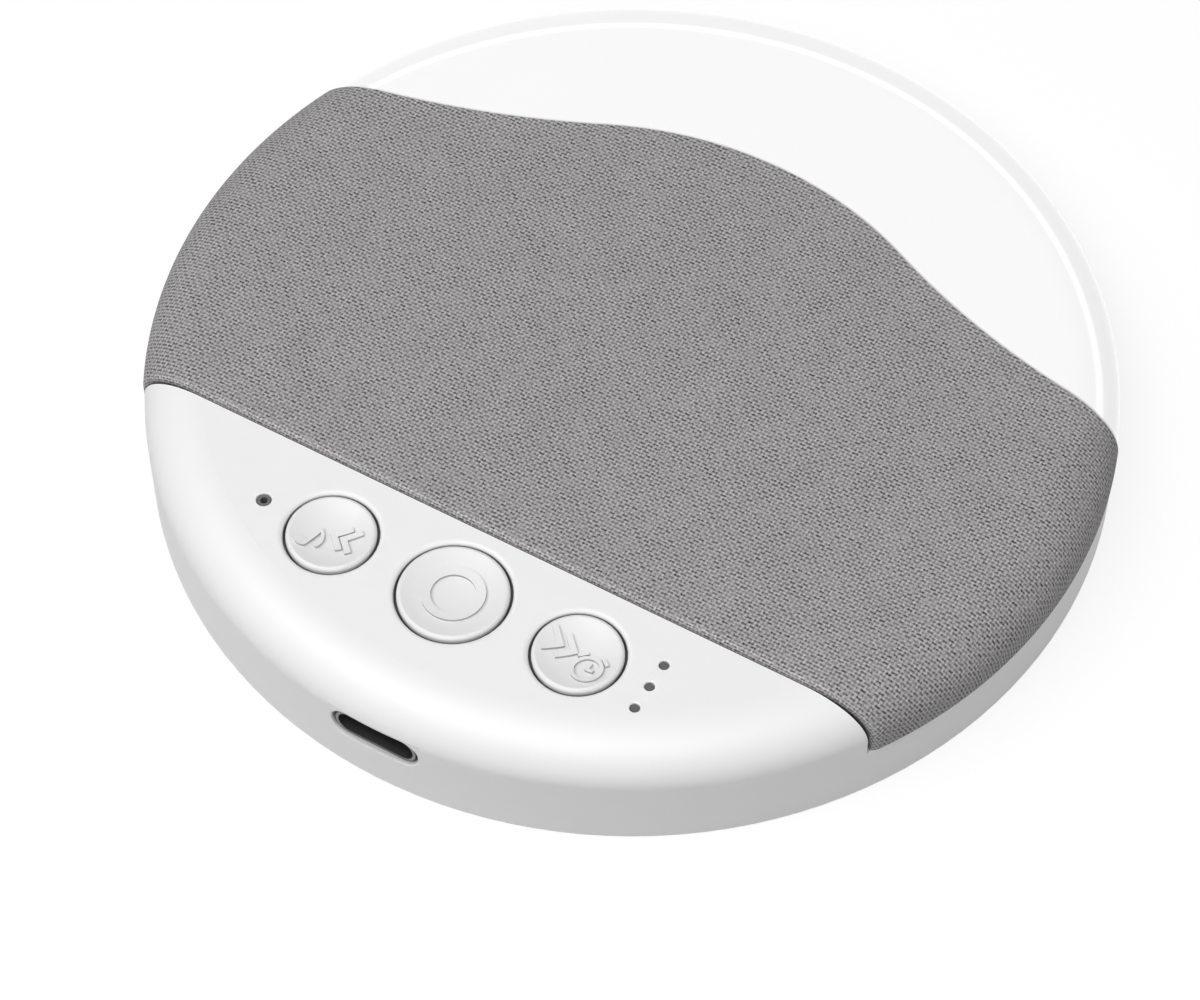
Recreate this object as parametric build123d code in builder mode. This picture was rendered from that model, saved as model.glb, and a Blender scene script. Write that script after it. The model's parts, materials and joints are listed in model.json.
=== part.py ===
from build123d import *
import math
import os

# A round pillow speaker: white case, cloth band over the driver, crescent night light, three push buttons.
# Millimetres. The origin is the middle of the underside, +Z is up, the control panel faces -Y.

os.makedirs("parts", exist_ok=True)

# Overall size
disc_diameter = 98.0
overall_height = 13.0

# Outside form: plastic rim, cloth, seams
rim_width = 5.7
rim_drop = 4.4
foot_round = 0.1
seam_z = 6.4
seam_gap = 0.15
chord_y = -26.3
wave_crest_y = 28.2
wave_crest_radius = 40.0
wave_left_radius = 100.0
wave_right_radius = 83.0
wave_turn = 25.7
fabric_thickness = 0.5
fabric_proud = 0.2
fabric_step = 0.3
fabric_edge_round = 0.6
glue_line = 0.05

# Walls and fits of the case
case_wall = 1.6
panel_wall = 1.2
bulkhead_wall = 1.2
carrier_wall = 1.4
diffuser_wall = 1.5
base_thickness = 1.5
base_edge_chamfer = 0.2
case_fit = 0.15
ledge_width = 1.0
ledge_height = 1.0
overcut = 1.0
match_tolerance = 0.01

# Soft ring underneath
pad_proud = 0.1
pad_seat = 0.4
pad_width = 7.0
pad_fit = 0.1
pad_round = 0.2
label_recess_radius = 24.0
label_recess_depth = 0.2

# Case screws, posts and bosses
screw_circle_radius = 42.0
front_screw_angle = 45.0
rear_screw_angle = 30.0
screw_radius = 0.95
screw_length = 6.0
screw_head_radius = 1.75
screw_head_height = 1.2
screw_tip = 0.8
screw_pilot_fit = 0.05
screw_clear_fit = 0.2
screw_head_fit = 0.2
drive_slot_width = 0.5
drive_slot_depth = 0.6
boss_radius = 2.4
post_radius = 2.9
peg_radius = 1.2

# Buttons
button_row_y = -33.9
button_pitch = 13.8
side_hole_radius = 4.7
centre_hole_radius = 5.72
hole_edge_round = 0.5
button_gap = 0.26
button_proud = 0.12
button_edge_round = 0.4
button_dish = 0.8
button_flange = 0.75
button_flange_thickness = 0.8
button_stop_gap = 0.05
post_tip_radius = 1.4
plunger_gap = 0.02
symbol_height = 0.35
chevron_half_height = 1.6
chevron_thickness = 0.9
chevron_y = 0.15
left_chevron_x = -0.25
left_chevron_pitch = 1.1
right_chevron_x = -0.08
right_chevron_pitch = 1.5
ring_outer_radius = 3.15
ring_inner_radius = 2.2
clock_x = 1.6
clock_y = -1.1
clock_radius = 1.6
clock_line = 0.36
clock_ear_length = 1.05
clock_ear_angle = 40.0
note_x = -2.2
note_y = -2.2
note_head_length = 1.5
note_head_height = 1.0
note_stem_length = 2.6
note_line = 0.42
note_flag_line = 0.34
note_flag_reach = 1.0
note_flag_drop = 1.8
note_tilt = 11.0

# Tact switches under the buttons
switch_side = 4.6
switch_height = 1.5
switch_roof = 0.4
switch_floor = 0.25
plunger_radius = 1.0
plunger_flange_radius = 1.5
plunger_flange_thickness = 0.3
plunger_proud = 0.5
plunger_fit = 0.05
dome_radius = 1.4
dome_sheet = 0.08
dome_fit = 0.03

# Pinholes in the panel
mic_hole_x = -21.6
mic_hole_y = -33.8
mic_hole_radius = 0.75
indicator_x = 21.5
indicator_y = -33.75
indicator_pitch = 2.75
indicator_count = 3
indicator_hole_radius = 0.5
pinhole_edge_round = 0.15
pinhole_fit = 0.08
pinhole_fill = 1.05

# Charging socket
usb_centre_z = 6.8
usb_shell_width = 8.94
usb_shell_height = 3.26
usb_shell_sheet = 0.3
usb_length = 7.3
usb_setback = 0.45
usb_slot_width = 9.5
usb_slot_height = 3.5
usb_slot_round = 0.25
usb_tongue_width = 6.7
usb_tongue_thickness = 0.7
usb_tongue_setback = 1.2
usb_block_length = 2.2
usb_block_fit = 0.05
usb_contact_count = 6
usb_contact_pitch = 1.0
usb_contact_width = 0.45
usb_contact_length = 3.2
usb_contact_thickness = 0.08

# Circuit boards
board_thickness = 1.2
board_rim_gap = 0.8
board_back_y = -23.0
mic_length = 3.5
mic_width = 2.7
mic_height = 1.0
boot_radius = 1.7
indicator_lamp_length = 1.6
indicator_lamp_width = 0.9
indicator_lamp_height = 0.7
pipe_bar_width = 2.6
pipe_bar_margin = 0.9
pipe_bar_gap = 0.3
pipe_bar_thickness = 0.8
pipe_leg_radius = 0.75
pipe_lamp_gap = 0.2

# Components under the main board
controller_x = 6.8
controller_y = -29.6
controller_side = 5.0
amplifier_x = -6.8
amplifier_y = -29.0
amplifier_side = 3.0
chip_height = 0.9
coil_x = 7.2
coil_y = -40.2
coil_side = 4.0
coil_height = 1.9
crystal_x = 1.2
crystal_y = -28.3
crystal_length = 3.2
crystal_width = 2.5
crystal_height = 0.8
radio_x = -7.5
radio_y = -40.0
radio_board_length = 9.0
radio_board_width = 7.0
radio_board_thickness = 0.8
radio_shield_side = 6.0
radio_shield_height = 1.3
capacitor_x = 16.0
capacitor_y = -39.0
capacitor_pitch = 2.3
capacitor_columns = 3
capacitor_rows = 2
capacitor_length = 1.6
capacitor_width = 0.8

# Connectors and leads
connector_width = 5.0
connector_length = 3.2
connector_height = 2.2
connector_inset = 0.4
lead_radius = 0.4
lead_pitch = 1.2
light_lead_x = 8.0
light_lead_end_x = 6.0
light_lead_route = ((8.0, -17.5), (6.4, -8.0), (5.0, 2.0), (4.8, 12.0), (6.0, 22.0))
bend_share = 0.45
lone_bend_share = 0.9
light_clip_front_y = -21.4
light_clip_rear_y = 28.0
battery_lead_jog = 1.0
clip_length = 2.0
clip_margin = 0.8
clip_fit = 0.06

# Driver
driver_x = -14.0
driver_y = -3.0
driver_radius = 20.0
driver_screw_circle_radius = 18.2
driver_screw_count = 4
driver_screw_start = 45.0
driver_screw_radius = 0.7
driver_screw_length = 3.0
driver_screw_head_radius = 1.25
driver_screw_head_height = 0.9
seat_ring_height = 0.7
gasket_thickness = 0.5
flange_thickness = 0.8
flange_step = 0.3
flange_lip = 1.2
cone_radius = 13.2
cone_lip = 0.8
cone_depth = 1.0
cone_sheet = 0.3
surround_width = 3.2
surround_rise = 0.8
surround_sheet = 0.25
basket_hub_radius = 11.4
basket_hub_thickness = 0.5
basket_depth = 2.5
basket_window_count = 6
basket_window_length = 6.0
basket_window_width = 1.8
yoke_radius = 8.0
yoke_wall = 1.4
yoke_floor = 0.8
magnet_radius = 4.3
magnet_height = 1.3
pole_radius = 4.6
pole_height = 0.9
former_gap = 0.35
former_sheet = 0.2
winding_thickness = 0.5
winding_height = 2.0
dust_cap_radius = 6.5
dust_cap_rise = 1.2
dust_cap_sheet = 0.25
cone_glue = 0.04
winding_glue = 0.02
terminal_width = 8.0
terminal_length = 3.6
terminal_thickness = 0.8

# Openings of the carrier over the driver
grille_hole_radius = 0.8
grille_ring_pitch = 3.0
grille_rings = 4
grille_holes_per_ring = 6

# Snap hooks of the carrier
hook_angles = (12.0, -24.0)
hook_width = 6.0
hook_thickness = 1.2
hook_depth = 3.0
hook_root = 2.0
hook_fit = 0.25
hook_barb = 0.6
hook_barb_height = 0.9
hook_pocket_fit = 0.15

# Battery
battery_left_x = 10.0
battery_y = -2.0
battery_width = 26.0
battery_length = 33.0
battery_height = 5.4
battery_round = 1.2
battery_tape_thickness = 0.2
battery_tape_margin = 2.0
guard_board_width = 20.0
guard_board_height = 2.4
guard_board_thickness = 0.8
battery_rib_thickness = 1.0
battery_rib_length = 20.0
battery_rib_height = 2.4
battery_rib_fit = 0.3

# Night light
light_board_half_width = 36.0
light_board_gap = 0.5
lamp_circle_radius = 37.0
lamp_count = 4
lamp_start_angle = 45.0
lamp_spread = 90.0
lamp_length = 3.5
lamp_width = 2.8
lamp_height = 1.1

# Heights worked out from the sizes above
fabric_radius = disc_diameter / 2
case_radius = fabric_radius - fabric_proud
case_inner = case_radius - case_wall
panel_top = overall_height - fabric_step
panel_under = panel_top - panel_wall
panel_back_y = chord_y - seam_gap
case_low = pad_proud
base_top = case_low + base_thickness
pad_roof = case_low + pad_seat
head_seat = pad_roof + screw_head_fit + screw_head_height
board_top = usb_centre_z - usb_shell_height / 2
board_low = board_top - board_thickness
board_radius = case_inner - board_rim_gap
lead_z = board_low - connector_height / 2
carrier_inset = fabric_thickness + glue_line
carrier_under = overall_height - carrier_inset - carrier_wall
reach = disc_diameter
battery_x = battery_left_x + battery_width / 2

on_floor = (Align.CENTER, Align.CENTER, Align.MIN)
hanging = (Align.CENTER, Align.CENTER, Align.MAX)


def save(piece, name):
    """Name a finished piece and write it."""
    piece.part.label = name
    export_step(piece.part, f"parts/{name}.step")


def dome(radius, low, top, width, drop, mode=Mode.ADD):
    """Round block about the vertical axis whose top rim follows a quarter ellipse."""
    with BuildSketch(Plane.XZ) as profile:
        with BuildLine():
            Polyline((radius, top - drop), (radius, low), (0, low), (0, top), (radius - width, top))
            EllipticalCenterArc((radius - width, top - drop), width, drop, start_angle=0, arc_size=90)
        make_face()
    revolve(profile.sketch, axis=Axis.Z, mode=mode)


def case_dome(side_inset, top_inset, low, mode=Mode.ADD):
    """Outer form of the plastic, drawn in at the side and from the top."""
    width = rim_width - side_inset
    drop = rim_drop - top_inset
    dome(case_radius - side_inset, low, panel_top - top_inset, width, drop, mode)


def cloth_dome(inset, mode=Mode.ADD):
    """Outer form of the cloth, drawn in all round."""
    width = rim_width + fabric_proud - inset
    drop = rim_drop + fabric_step - inset
    dome(fabric_radius - inset, seam_z, overall_height - inset, width, drop, mode)


def wave_valley(side, valley_radius):
    """Lowest point of one side of the wave, where its valley arc runs level."""
    arcs = wave_crest_radius + valley_radius
    turn = math.radians(wave_turn)
    return (side * arcs * math.sin(turn), wave_crest_y - arcs * (1 - math.cos(turn)))


def wave_joint(side, shift):
    """Point where the crest arc and the valley arc of one side of the wave meet."""
    radius = wave_crest_radius + shift
    turn = math.radians(wave_turn)
    return (side * radius * math.sin(turn), wave_crest_y - wave_crest_radius + radius * math.cos(turn))


def wave_line(shift):
    """Wavy edge between cloth and night light, moved by shift toward the back."""
    crest = (0, wave_crest_y + shift)
    for side, valley_radius in ((-1, wave_left_radius), (1, wave_right_radius)):
        joint = wave_joint(side, shift)
        valley_x, valley_y = wave_valley(side, valley_radius)
        TangentArc(crest, joint, tangent=(side, 0))
        TangentArc((valley_x, valley_y + shift), joint, tangent=(-side, 0))
        Line((valley_x, valley_y + shift), (side * reach, valley_y + shift))


def band_plan(inset):
    """Plan of the cloth band, its front and rear edges drawn in."""
    front = chord_y + inset
    left = (-reach, wave_valley(-1, wave_left_radius)[1] - inset)
    right = (reach, wave_valley(1, wave_right_radius)[1] - inset)
    with BuildLine() as outline:
        wave_line(-inset)
        Polyline(left, (-reach, front), (reach, front), right)
    make_face(outline.edges())


def crescent_plan(shift):
    """Plan of everything behind the wavy edge."""
    left = (-reach, wave_valley(-1, wave_left_radius)[1] + shift)
    right = (reach, wave_valley(1, wave_right_radius)[1] + shift)
    with BuildLine() as outline:
        wave_line(shift)
        Polyline(left, (-reach, reach), (reach, reach), right)
    make_face(outline.edges())


def turned(points, at=(0, 0), mode=Mode.ADD):
    """Solid turned about a vertical axis from points of radius and height."""
    axis_point = (at[0], at[1], 0)
    with BuildSketch(Plane(origin=axis_point, x_dir=(1, 0, 0), z_dir=(0, -1, 0))) as profile:
        with BuildLine():
            Polyline(*points, close=True)
        make_face()
    revolve(profile.sketch, axis=Axis(axis_point, (0, 0, 1)), mode=mode)


def ring(outer, inner, low, high, at=(0, 0), mode=Mode.ADD):
    """Plain ring between two heights."""
    turned([(inner, low), (outer, low), (outer, high), (inner, high)], at, mode)


def column(points, radius, low, high, mode=Mode.ADD):
    """Round columns between two heights."""
    with Locations(*[(x, y, low) for x, y in points]):
        Cylinder(radius, high - low, align=on_floor, mode=mode)


def block(at, size, low, high, mode=Mode.ADD, turn=0):
    """Rectangular block standing on a height."""
    with BuildSketch(Plane.XY.offset(low)) as plan:
        with Locations(at):
            Rectangle(size[0], size[1], rotation=turn)
    extrude(plan.sketch, amount=high - low, mode=mode)


def radial_block(angle, inner, outer, width, low, high, mode=Mode.ADD):
    """Block that points outward at an angle from +X."""
    outward = (math.cos(math.radians(angle)), math.sin(math.radians(angle)), 0)
    with BuildSketch(Plane(origin=(0, 0, low), x_dir=outward, z_dir=(0, 0, 1))) as plan:
        with Locations(((inner + outer) / 2, 0)):
            Rectangle(outer - inner, width)
    extrude(plan.sketch, amount=high - low, mode=mode)


def screw(at, seat, radius, length, head_radius, head_height):
    """Pan-head screw driven upward, its head under the seat height, with a cross recess."""
    x, y = at
    turned(
        [
            (0, seat - head_height),
            (head_radius - head_height / 4, seat - head_height),
            (head_radius, seat - head_height * 3 / 4),
            (head_radius, seat),
            (radius, seat),
            (radius, seat + length - screw_tip),
            (0, seat + length),
        ],
        at,
    )
    for turn in (0, 90):
        low = seat - head_height
        block(at, (head_radius * 1.2, drive_slot_width), low, low + drive_slot_depth, Mode.SUBTRACT, turn)


def lead(points):
    """Round wire along straight runs joined by arcs as large as the shorter run beside each corner allows."""
    corners = [Vector(*p) for p in points]
    radii = []
    for before, here, after in zip(corners, corners[1:], corners[2:]):
        turn = (here - before).get_angle(after - here)
        shorter = min((here - before).length, (after - here).length)
        share = lone_bend_share if len(corners) == 3 else bend_share
        radii.append(share * shorter / math.tan(math.radians(turn / 2)))
    with BuildLine() as route:
        FilletPolyline(*points, radius=radii)
    with BuildSketch(Plane(origin=points[0], z_dir=route.line % 0)) as section:
        Circle(lead_radius)
    sweep(section.sketch, path=route.line)
    print("lead bend radii", [round(r, 2) for r in radii])


def spread(angle):
    """Pair of screw places, mirrored left and right, at an angle from the front."""
    x = screw_circle_radius * math.sin(math.radians(angle))
    y = -screw_circle_radius * math.cos(math.radians(angle))
    return [(-x, y), (x, y)]


front_screws = spread(front_screw_angle)
rear_screws = spread(180 - rear_screw_angle)
case_screw_places = front_screws + rear_screws
button_names = ("left", "centre", "right")
button_places = [(step * button_pitch, button_row_y) for step in (-1, 0, 1)]
button_hole_radii = (side_hole_radius, centre_hole_radius, side_hole_radius)
indicator_middle = (indicator_count - 1) / 2
indicator_rows = [(step - indicator_middle) * indicator_pitch for step in range(indicator_count)]
indicator_places = [(indicator_x, indicator_y + row) for row in indicator_rows]
hook_places = [*hook_angles, *(180 - angle for angle in hook_angles)]
hook_outer = case_inner - hook_fit
hook_low = seam_z - hook_depth
driver_at = (driver_x, driver_y)
mic_at = (mic_hole_x, mic_hole_y)
pilot_radius = screw_radius + screw_pilot_fit
pilot_top = head_seat + screw_length + overcut
clear_radius = screw_radius + screw_clear_fit
light_lead_clips = ((light_lead_x, light_clip_front_y), (light_lead_end_x, light_clip_rear_y))


def on_slot_mouth(edge):
    """True for the edges of the socket slot on the outer face of the wall."""
    middle = edge @ 0.5
    on_wall = abs(math.hypot(middle.X, middle.Y) - case_radius) < match_tolerance
    near_x = abs(middle.X) < usb_slot_width / 2 + match_tolerance
    near_z = abs(middle.Z - usb_centre_z) < usb_slot_height / 2 + match_tolerance
    return on_wall and near_x and near_z and middle.Y < 0


# Case: ring wall and control panel in one piece
with BuildPart() as bulkhead:
    case_dome(0, 0, seam_z)
    with BuildSketch(Plane.XY.offset(seam_z)):
        with Locations((0, panel_back_y)):
            Rectangle(2 * reach, bulkhead_wall, align=(Align.CENTER, Align.MAX))
    extrude(amount=overall_height, mode=Mode.INTERSECT)

with BuildPart() as main_housing:
    case_dome(0, 0, case_low)
    fillet(main_housing.edges().group_by(Axis.Z)[0], foot_round)
    case_dome(case_wall, panel_wall, case_low - overcut, Mode.SUBTRACT)
    with BuildSketch(Plane.XY.offset(seam_z)):
        with Locations((0, panel_back_y)):
            Rectangle(2 * reach, reach, align=(Align.CENTER, Align.MIN))
    extrude(amount=overall_height, mode=Mode.SUBTRACT)
    add(bulkhead.part)
    ring(case_inner + case_wall / 2, case_inner - ledge_width, base_top, base_top + ledge_height)
    column(front_screws, boss_radius, board_top, panel_under + panel_wall / 2)
    column(front_screws, pilot_radius, board_top, pilot_top, Mode.SUBTRACT)
    for place, radius in zip(button_places, button_hole_radii):
        column([place], radius, panel_under - overcut, panel_top + overcut, Mode.SUBTRACT)
    column([mic_at], mic_hole_radius, panel_under - overcut, panel_top + overcut, Mode.SUBTRACT)
    column(indicator_places, indicator_hole_radius, panel_under - overcut, panel_top + overcut, Mode.SUBTRACT)
    top_rings = main_housing.edges().filter_by(GeomType.CIRCLE).group_by(Axis.Z)[-1]
    for radius, rounding in (
        (side_hole_radius, hole_edge_round),
        (centre_hole_radius, hole_edge_round),
        (mic_hole_radius, pinhole_edge_round),
        (indicator_hole_radius, pinhole_edge_round),
    ):
        fillet(top_rings.filter_by(lambda edge: abs(edge.radius - radius) < match_tolerance), rounding)
    with BuildSketch(Plane.XZ.offset(case_radius + overcut)):
        with Locations((0, usb_centre_z)):
            SlotOverall(usb_slot_width, usb_slot_height)
    extrude(amount=-(overcut + 2 * case_wall), mode=Mode.SUBTRACT)
    slot_mouth = main_housing.edges().filter_by(on_slot_mouth)
    fillet(slot_mouth, usb_slot_round)
    for angle in hook_places:
        radial_block(
            angle,
            case_inner - overcut / 2,
            hook_outer + hook_barb + hook_pocket_fit,
            hook_width + 2 * hook_pocket_fit,
            hook_low - hook_pocket_fit,
            hook_low + hook_barb_height + hook_pocket_fit,
            Mode.SUBTRACT,
        )
save(main_housing, "main_housing")

# Flat cover underneath with the posts that carry both boards
with BuildPart() as base_cover:
    ring(case_inner - case_fit, 0, case_low, base_top)
    chamfer(base_cover.edges().group_by(Axis.Z)[0], base_edge_chamfer)
    pad_outer = screw_circle_radius + pad_width / 2
    pad_inner = screw_circle_radius - pad_width / 2
    ring(pad_outer + pad_fit, pad_inner - pad_fit, case_low - overcut, pad_roof, mode=Mode.SUBTRACT)
    ring(label_recess_radius, 0, case_low - overcut, case_low + label_recess_depth, mode=Mode.SUBTRACT)
    column(case_screw_places, post_radius, base_top, board_low)
    column(button_places, peg_radius, base_top, board_low)
    column(case_screw_places, screw_head_radius + screw_head_fit, case_low, head_seat, Mode.SUBTRACT)
    column(case_screw_places, clear_radius, case_low, board_low + overcut, Mode.SUBTRACT)
    for side in (-1, 1):
        rib_x = battery_x + side * (battery_width / 2 + battery_rib_fit + battery_rib_thickness / 2)
        rib_top = base_top + battery_rib_height
        block((rib_x, battery_y), (battery_rib_thickness, battery_rib_length), base_top, rib_top)
    channel = lead_pitch + 2 * (lead_radius + clip_fit)
    for place in light_lead_clips:
        block(place, (channel + 2 * clip_margin, clip_length), base_top, lead_z + lead_radius)
        channel_low = lead_z - lead_radius - clip_fit
        block(place, (channel, clip_length), channel_low, lead_z + lead_radius, Mode.SUBTRACT)
save(base_cover, "base_cover")

with BuildPart() as base_pad:
    ring(pad_outer, pad_inner, 0, pad_roof)
    fillet(base_pad.edges().group_by(Axis.Z)[0], pad_round)
save(base_pad, "base_pad")

with BuildPart() as case_screws:
    for place in case_screw_places:
        screw(place, head_seat, screw_radius, screw_length, screw_head_radius, screw_head_height)
save(case_screws, "case_screws")

# Cloth band and the rigid carrier that it is stretched over
with BuildPart() as cloth_room:
    cloth_dome(fabric_thickness)
    with BuildSketch(Plane.XY.offset(seam_z)):
        band_plan(fabric_thickness)
    extrude(amount=overall_height, mode=Mode.INTERSECT)

with BuildPart() as fabric_cover:
    cloth_dome(0)
    with BuildSketch(Plane.XY.offset(seam_z)):
        band_plan(0)
    extrude(amount=overall_height, mode=Mode.INTERSECT)
    front_edge = fabric_cover.edges().filter_by(GeomType.LINE).group_by(Axis.Z)[-1].sort_by(Axis.Y)[0]
    fillet(front_edge, fabric_edge_round)
    add(cloth_room.part, mode=Mode.SUBTRACT)
save(fabric_cover, "fabric_cover")

with BuildPart() as carrier_hollow:
    cloth_dome(carrier_inset + carrier_wall)
    with BuildSketch(Plane.XY.offset(seam_z)):
        band_plan(carrier_inset + carrier_wall)
    extrude(amount=overall_height, mode=Mode.INTERSECT)

seat_low = carrier_under - seat_ring_height
flange_top = seat_low - gasket_thickness
flange_low = flange_top - flange_thickness
lip_top = flange_top - flange_step
surround_outer = cone_radius + surround_width

with BuildPart() as grille_carrier:
    cloth_dome(carrier_inset)
    with BuildSketch(Plane.XY.offset(seam_z)):
        band_plan(carrier_inset)
    extrude(amount=overall_height, mode=Mode.INTERSECT)
    add(carrier_hollow.part, mode=Mode.SUBTRACT)
    ring(driver_radius, surround_outer, seat_low, carrier_under + carrier_wall / 2, driver_at)
    with BuildSketch(Plane.XY.offset(carrier_under - overcut)):
        with Locations(driver_at):
            Circle(grille_hole_radius)
        for step in range(1, grille_rings + 1):
            with Locations(driver_at):
                with PolarLocations(step * grille_ring_pitch, step * grille_holes_per_ring):
                    Circle(grille_hole_radius)
    extrude(amount=2 * overcut + carrier_wall, mode=Mode.SUBTRACT)
    with Locations((driver_x, driver_y, seat_low)):
        with PolarLocations(driver_screw_circle_radius, driver_screw_count, start_angle=driver_screw_start):
            Cylinder(
                driver_screw_radius + screw_pilot_fit,
                flange_low + driver_screw_length - seat_low + screw_clear_fit,
                align=on_floor,
                mode=Mode.SUBTRACT,
            )
    for angle in hook_places:
        inner = hook_outer - hook_thickness
        radial_block(angle, inner, hook_outer, hook_width, hook_low, seam_z + hook_root)
        radial_block(angle, inner, hook_outer + carrier_wall / 2, hook_width, seam_z, seam_z + hook_root)
        radial_block(angle, inner, hook_outer + hook_barb, hook_width, hook_low, hook_low + hook_barb_height)
save(grille_carrier, "grille_carrier")

# Night light: crescent cover, board and lamps
with BuildPart() as diffuser_hollow:
    case_dome(diffuser_wall, diffuser_wall, seam_z)
    with BuildSketch(Plane.XY.offset(seam_z)):
        crescent_plan(seam_gap + diffuser_wall)
    extrude(amount=overall_height, mode=Mode.INTERSECT)

with BuildPart() as light_diffuser:
    case_dome(0, 0, seam_z)
    with BuildSketch(Plane.XY.offset(seam_z)):
        crescent_plan(seam_gap)
    extrude(amount=overall_height, mode=Mode.INTERSECT)
    add(diffuser_hollow.part, mode=Mode.SUBTRACT)
    column(rear_screws, boss_radius, board_top, panel_top - diffuser_wall / 2)
    column(rear_screws, pilot_radius, board_top, pilot_top, Mode.SUBTRACT)
save(light_diffuser, "light_diffuser")

with BuildPart() as light_board:
    ring(board_radius, 0, board_low, board_top)
    with BuildSketch(Plane.XY.offset(board_low)):
        crescent_plan(seam_gap + diffuser_wall + light_board_gap)
    extrude(amount=board_thickness, mode=Mode.INTERSECT)
    block((0, 0), (2 * light_board_half_width, 2 * reach), board_low, board_top, Mode.INTERSECT)
    column(rear_screws, clear_radius, board_low - overcut, board_top + overcut, Mode.SUBTRACT)
save(light_board, "light_board")

with BuildPart() as night_lamps:
    with Locations((0, 0, board_top)):
        with PolarLocations(lamp_circle_radius, lamp_count, lamp_start_angle, lamp_spread):
            Box(lamp_width, lamp_length, lamp_height, align=on_floor)
save(night_lamps, "night_lamps")

# Push buttons with raised symbols, and a tact switch under each
rim_z = panel_top + button_proud
dish_low = rim_z - button_dish
cap_flange_top = panel_under - button_stop_gap
cap_flange_low = cap_flange_top - button_flange_thickness
switch_top = board_top + switch_height
switch_roof_z = switch_top - switch_roof
switch_floor_z = board_top + switch_floor
plunger_top = switch_top + plunger_proud
plunger_low = switch_roof_z - dome_fit - plunger_flange_thickness
dome_top = plunger_low - dome_fit


def chevron(apex, points_to):
    """Open arrow head of two bars at 45 degrees, its apex on the button's middle line."""
    tip = apex - points_to * chevron_half_height
    inner_tip = tip - points_to * chevron_thickness / 2
    inner_height = chevron_half_height - chevron_thickness / 2
    with Locations((0, chevron_y)):
        Polygon(
            (apex, 0),
            (tip, chevron_half_height),
            (inner_tip, inner_height),
            (apex - points_to * chevron_thickness, 0),
            (inner_tip, -inner_height),
            (tip, -chevron_half_height),
            align=None,
        )


def left_symbol():
    """Two arrow heads to the left, and a note that leans to the right."""
    chevron(left_chevron_x, -1)
    chevron(left_chevron_x + left_chevron_pitch, -1)
    stem_x = note_head_length / 2 - note_line / 2
    flag_top = note_stem_length - note_flag_line / 2
    flag_bend = (stem_x + note_flag_reach * 0.7, flag_top - note_flag_drop * 0.3)
    flag_end = (stem_x + note_flag_reach, flag_top - note_flag_drop)
    with Locations(Location((note_x, note_y, 0), (0, 0, -note_tilt))):
        Ellipse(note_head_length / 2, note_head_height / 2)
        with Locations((stem_x, note_stem_length / 2)):
            Rectangle(note_line, note_stem_length)
        with BuildLine(mode=Mode.PRIVATE):
            flag_curve = ThreePointArc((stem_x, flag_top), flag_bend, flag_end)
        SlotArc(flag_curve, note_flag_line)


def centre_symbol():
    """Plain ring."""
    Circle(ring_outer_radius)
    Circle(ring_inner_radius, mode=Mode.SUBTRACT)


def right_symbol():
    """Two arrow heads to the right, and a small clock with two ears."""
    with Locations((clock_x, clock_y)):
        Circle(clock_radius)
        Circle(clock_radius - clock_line, mode=Mode.SUBTRACT)
        with Locations((0, clock_radius / 4)):
            Rectangle(clock_line, clock_radius / 2)
        with Locations((clock_radius / 6, 0)):
            Rectangle(clock_radius / 2, clock_line)
    for side in (-1, 1):
        lean = math.radians(90 - side * clock_ear_angle)
        distance = clock_radius + clock_line * 3 / 4
        with Locations((clock_x + distance * math.cos(lean), clock_y + distance * math.sin(lean))):
            Rectangle(clock_ear_length, clock_line, rotation=-side * clock_ear_angle)
    chevron(right_chevron_x, 1)
    chevron(right_chevron_x - right_chevron_pitch, 1)


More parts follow.
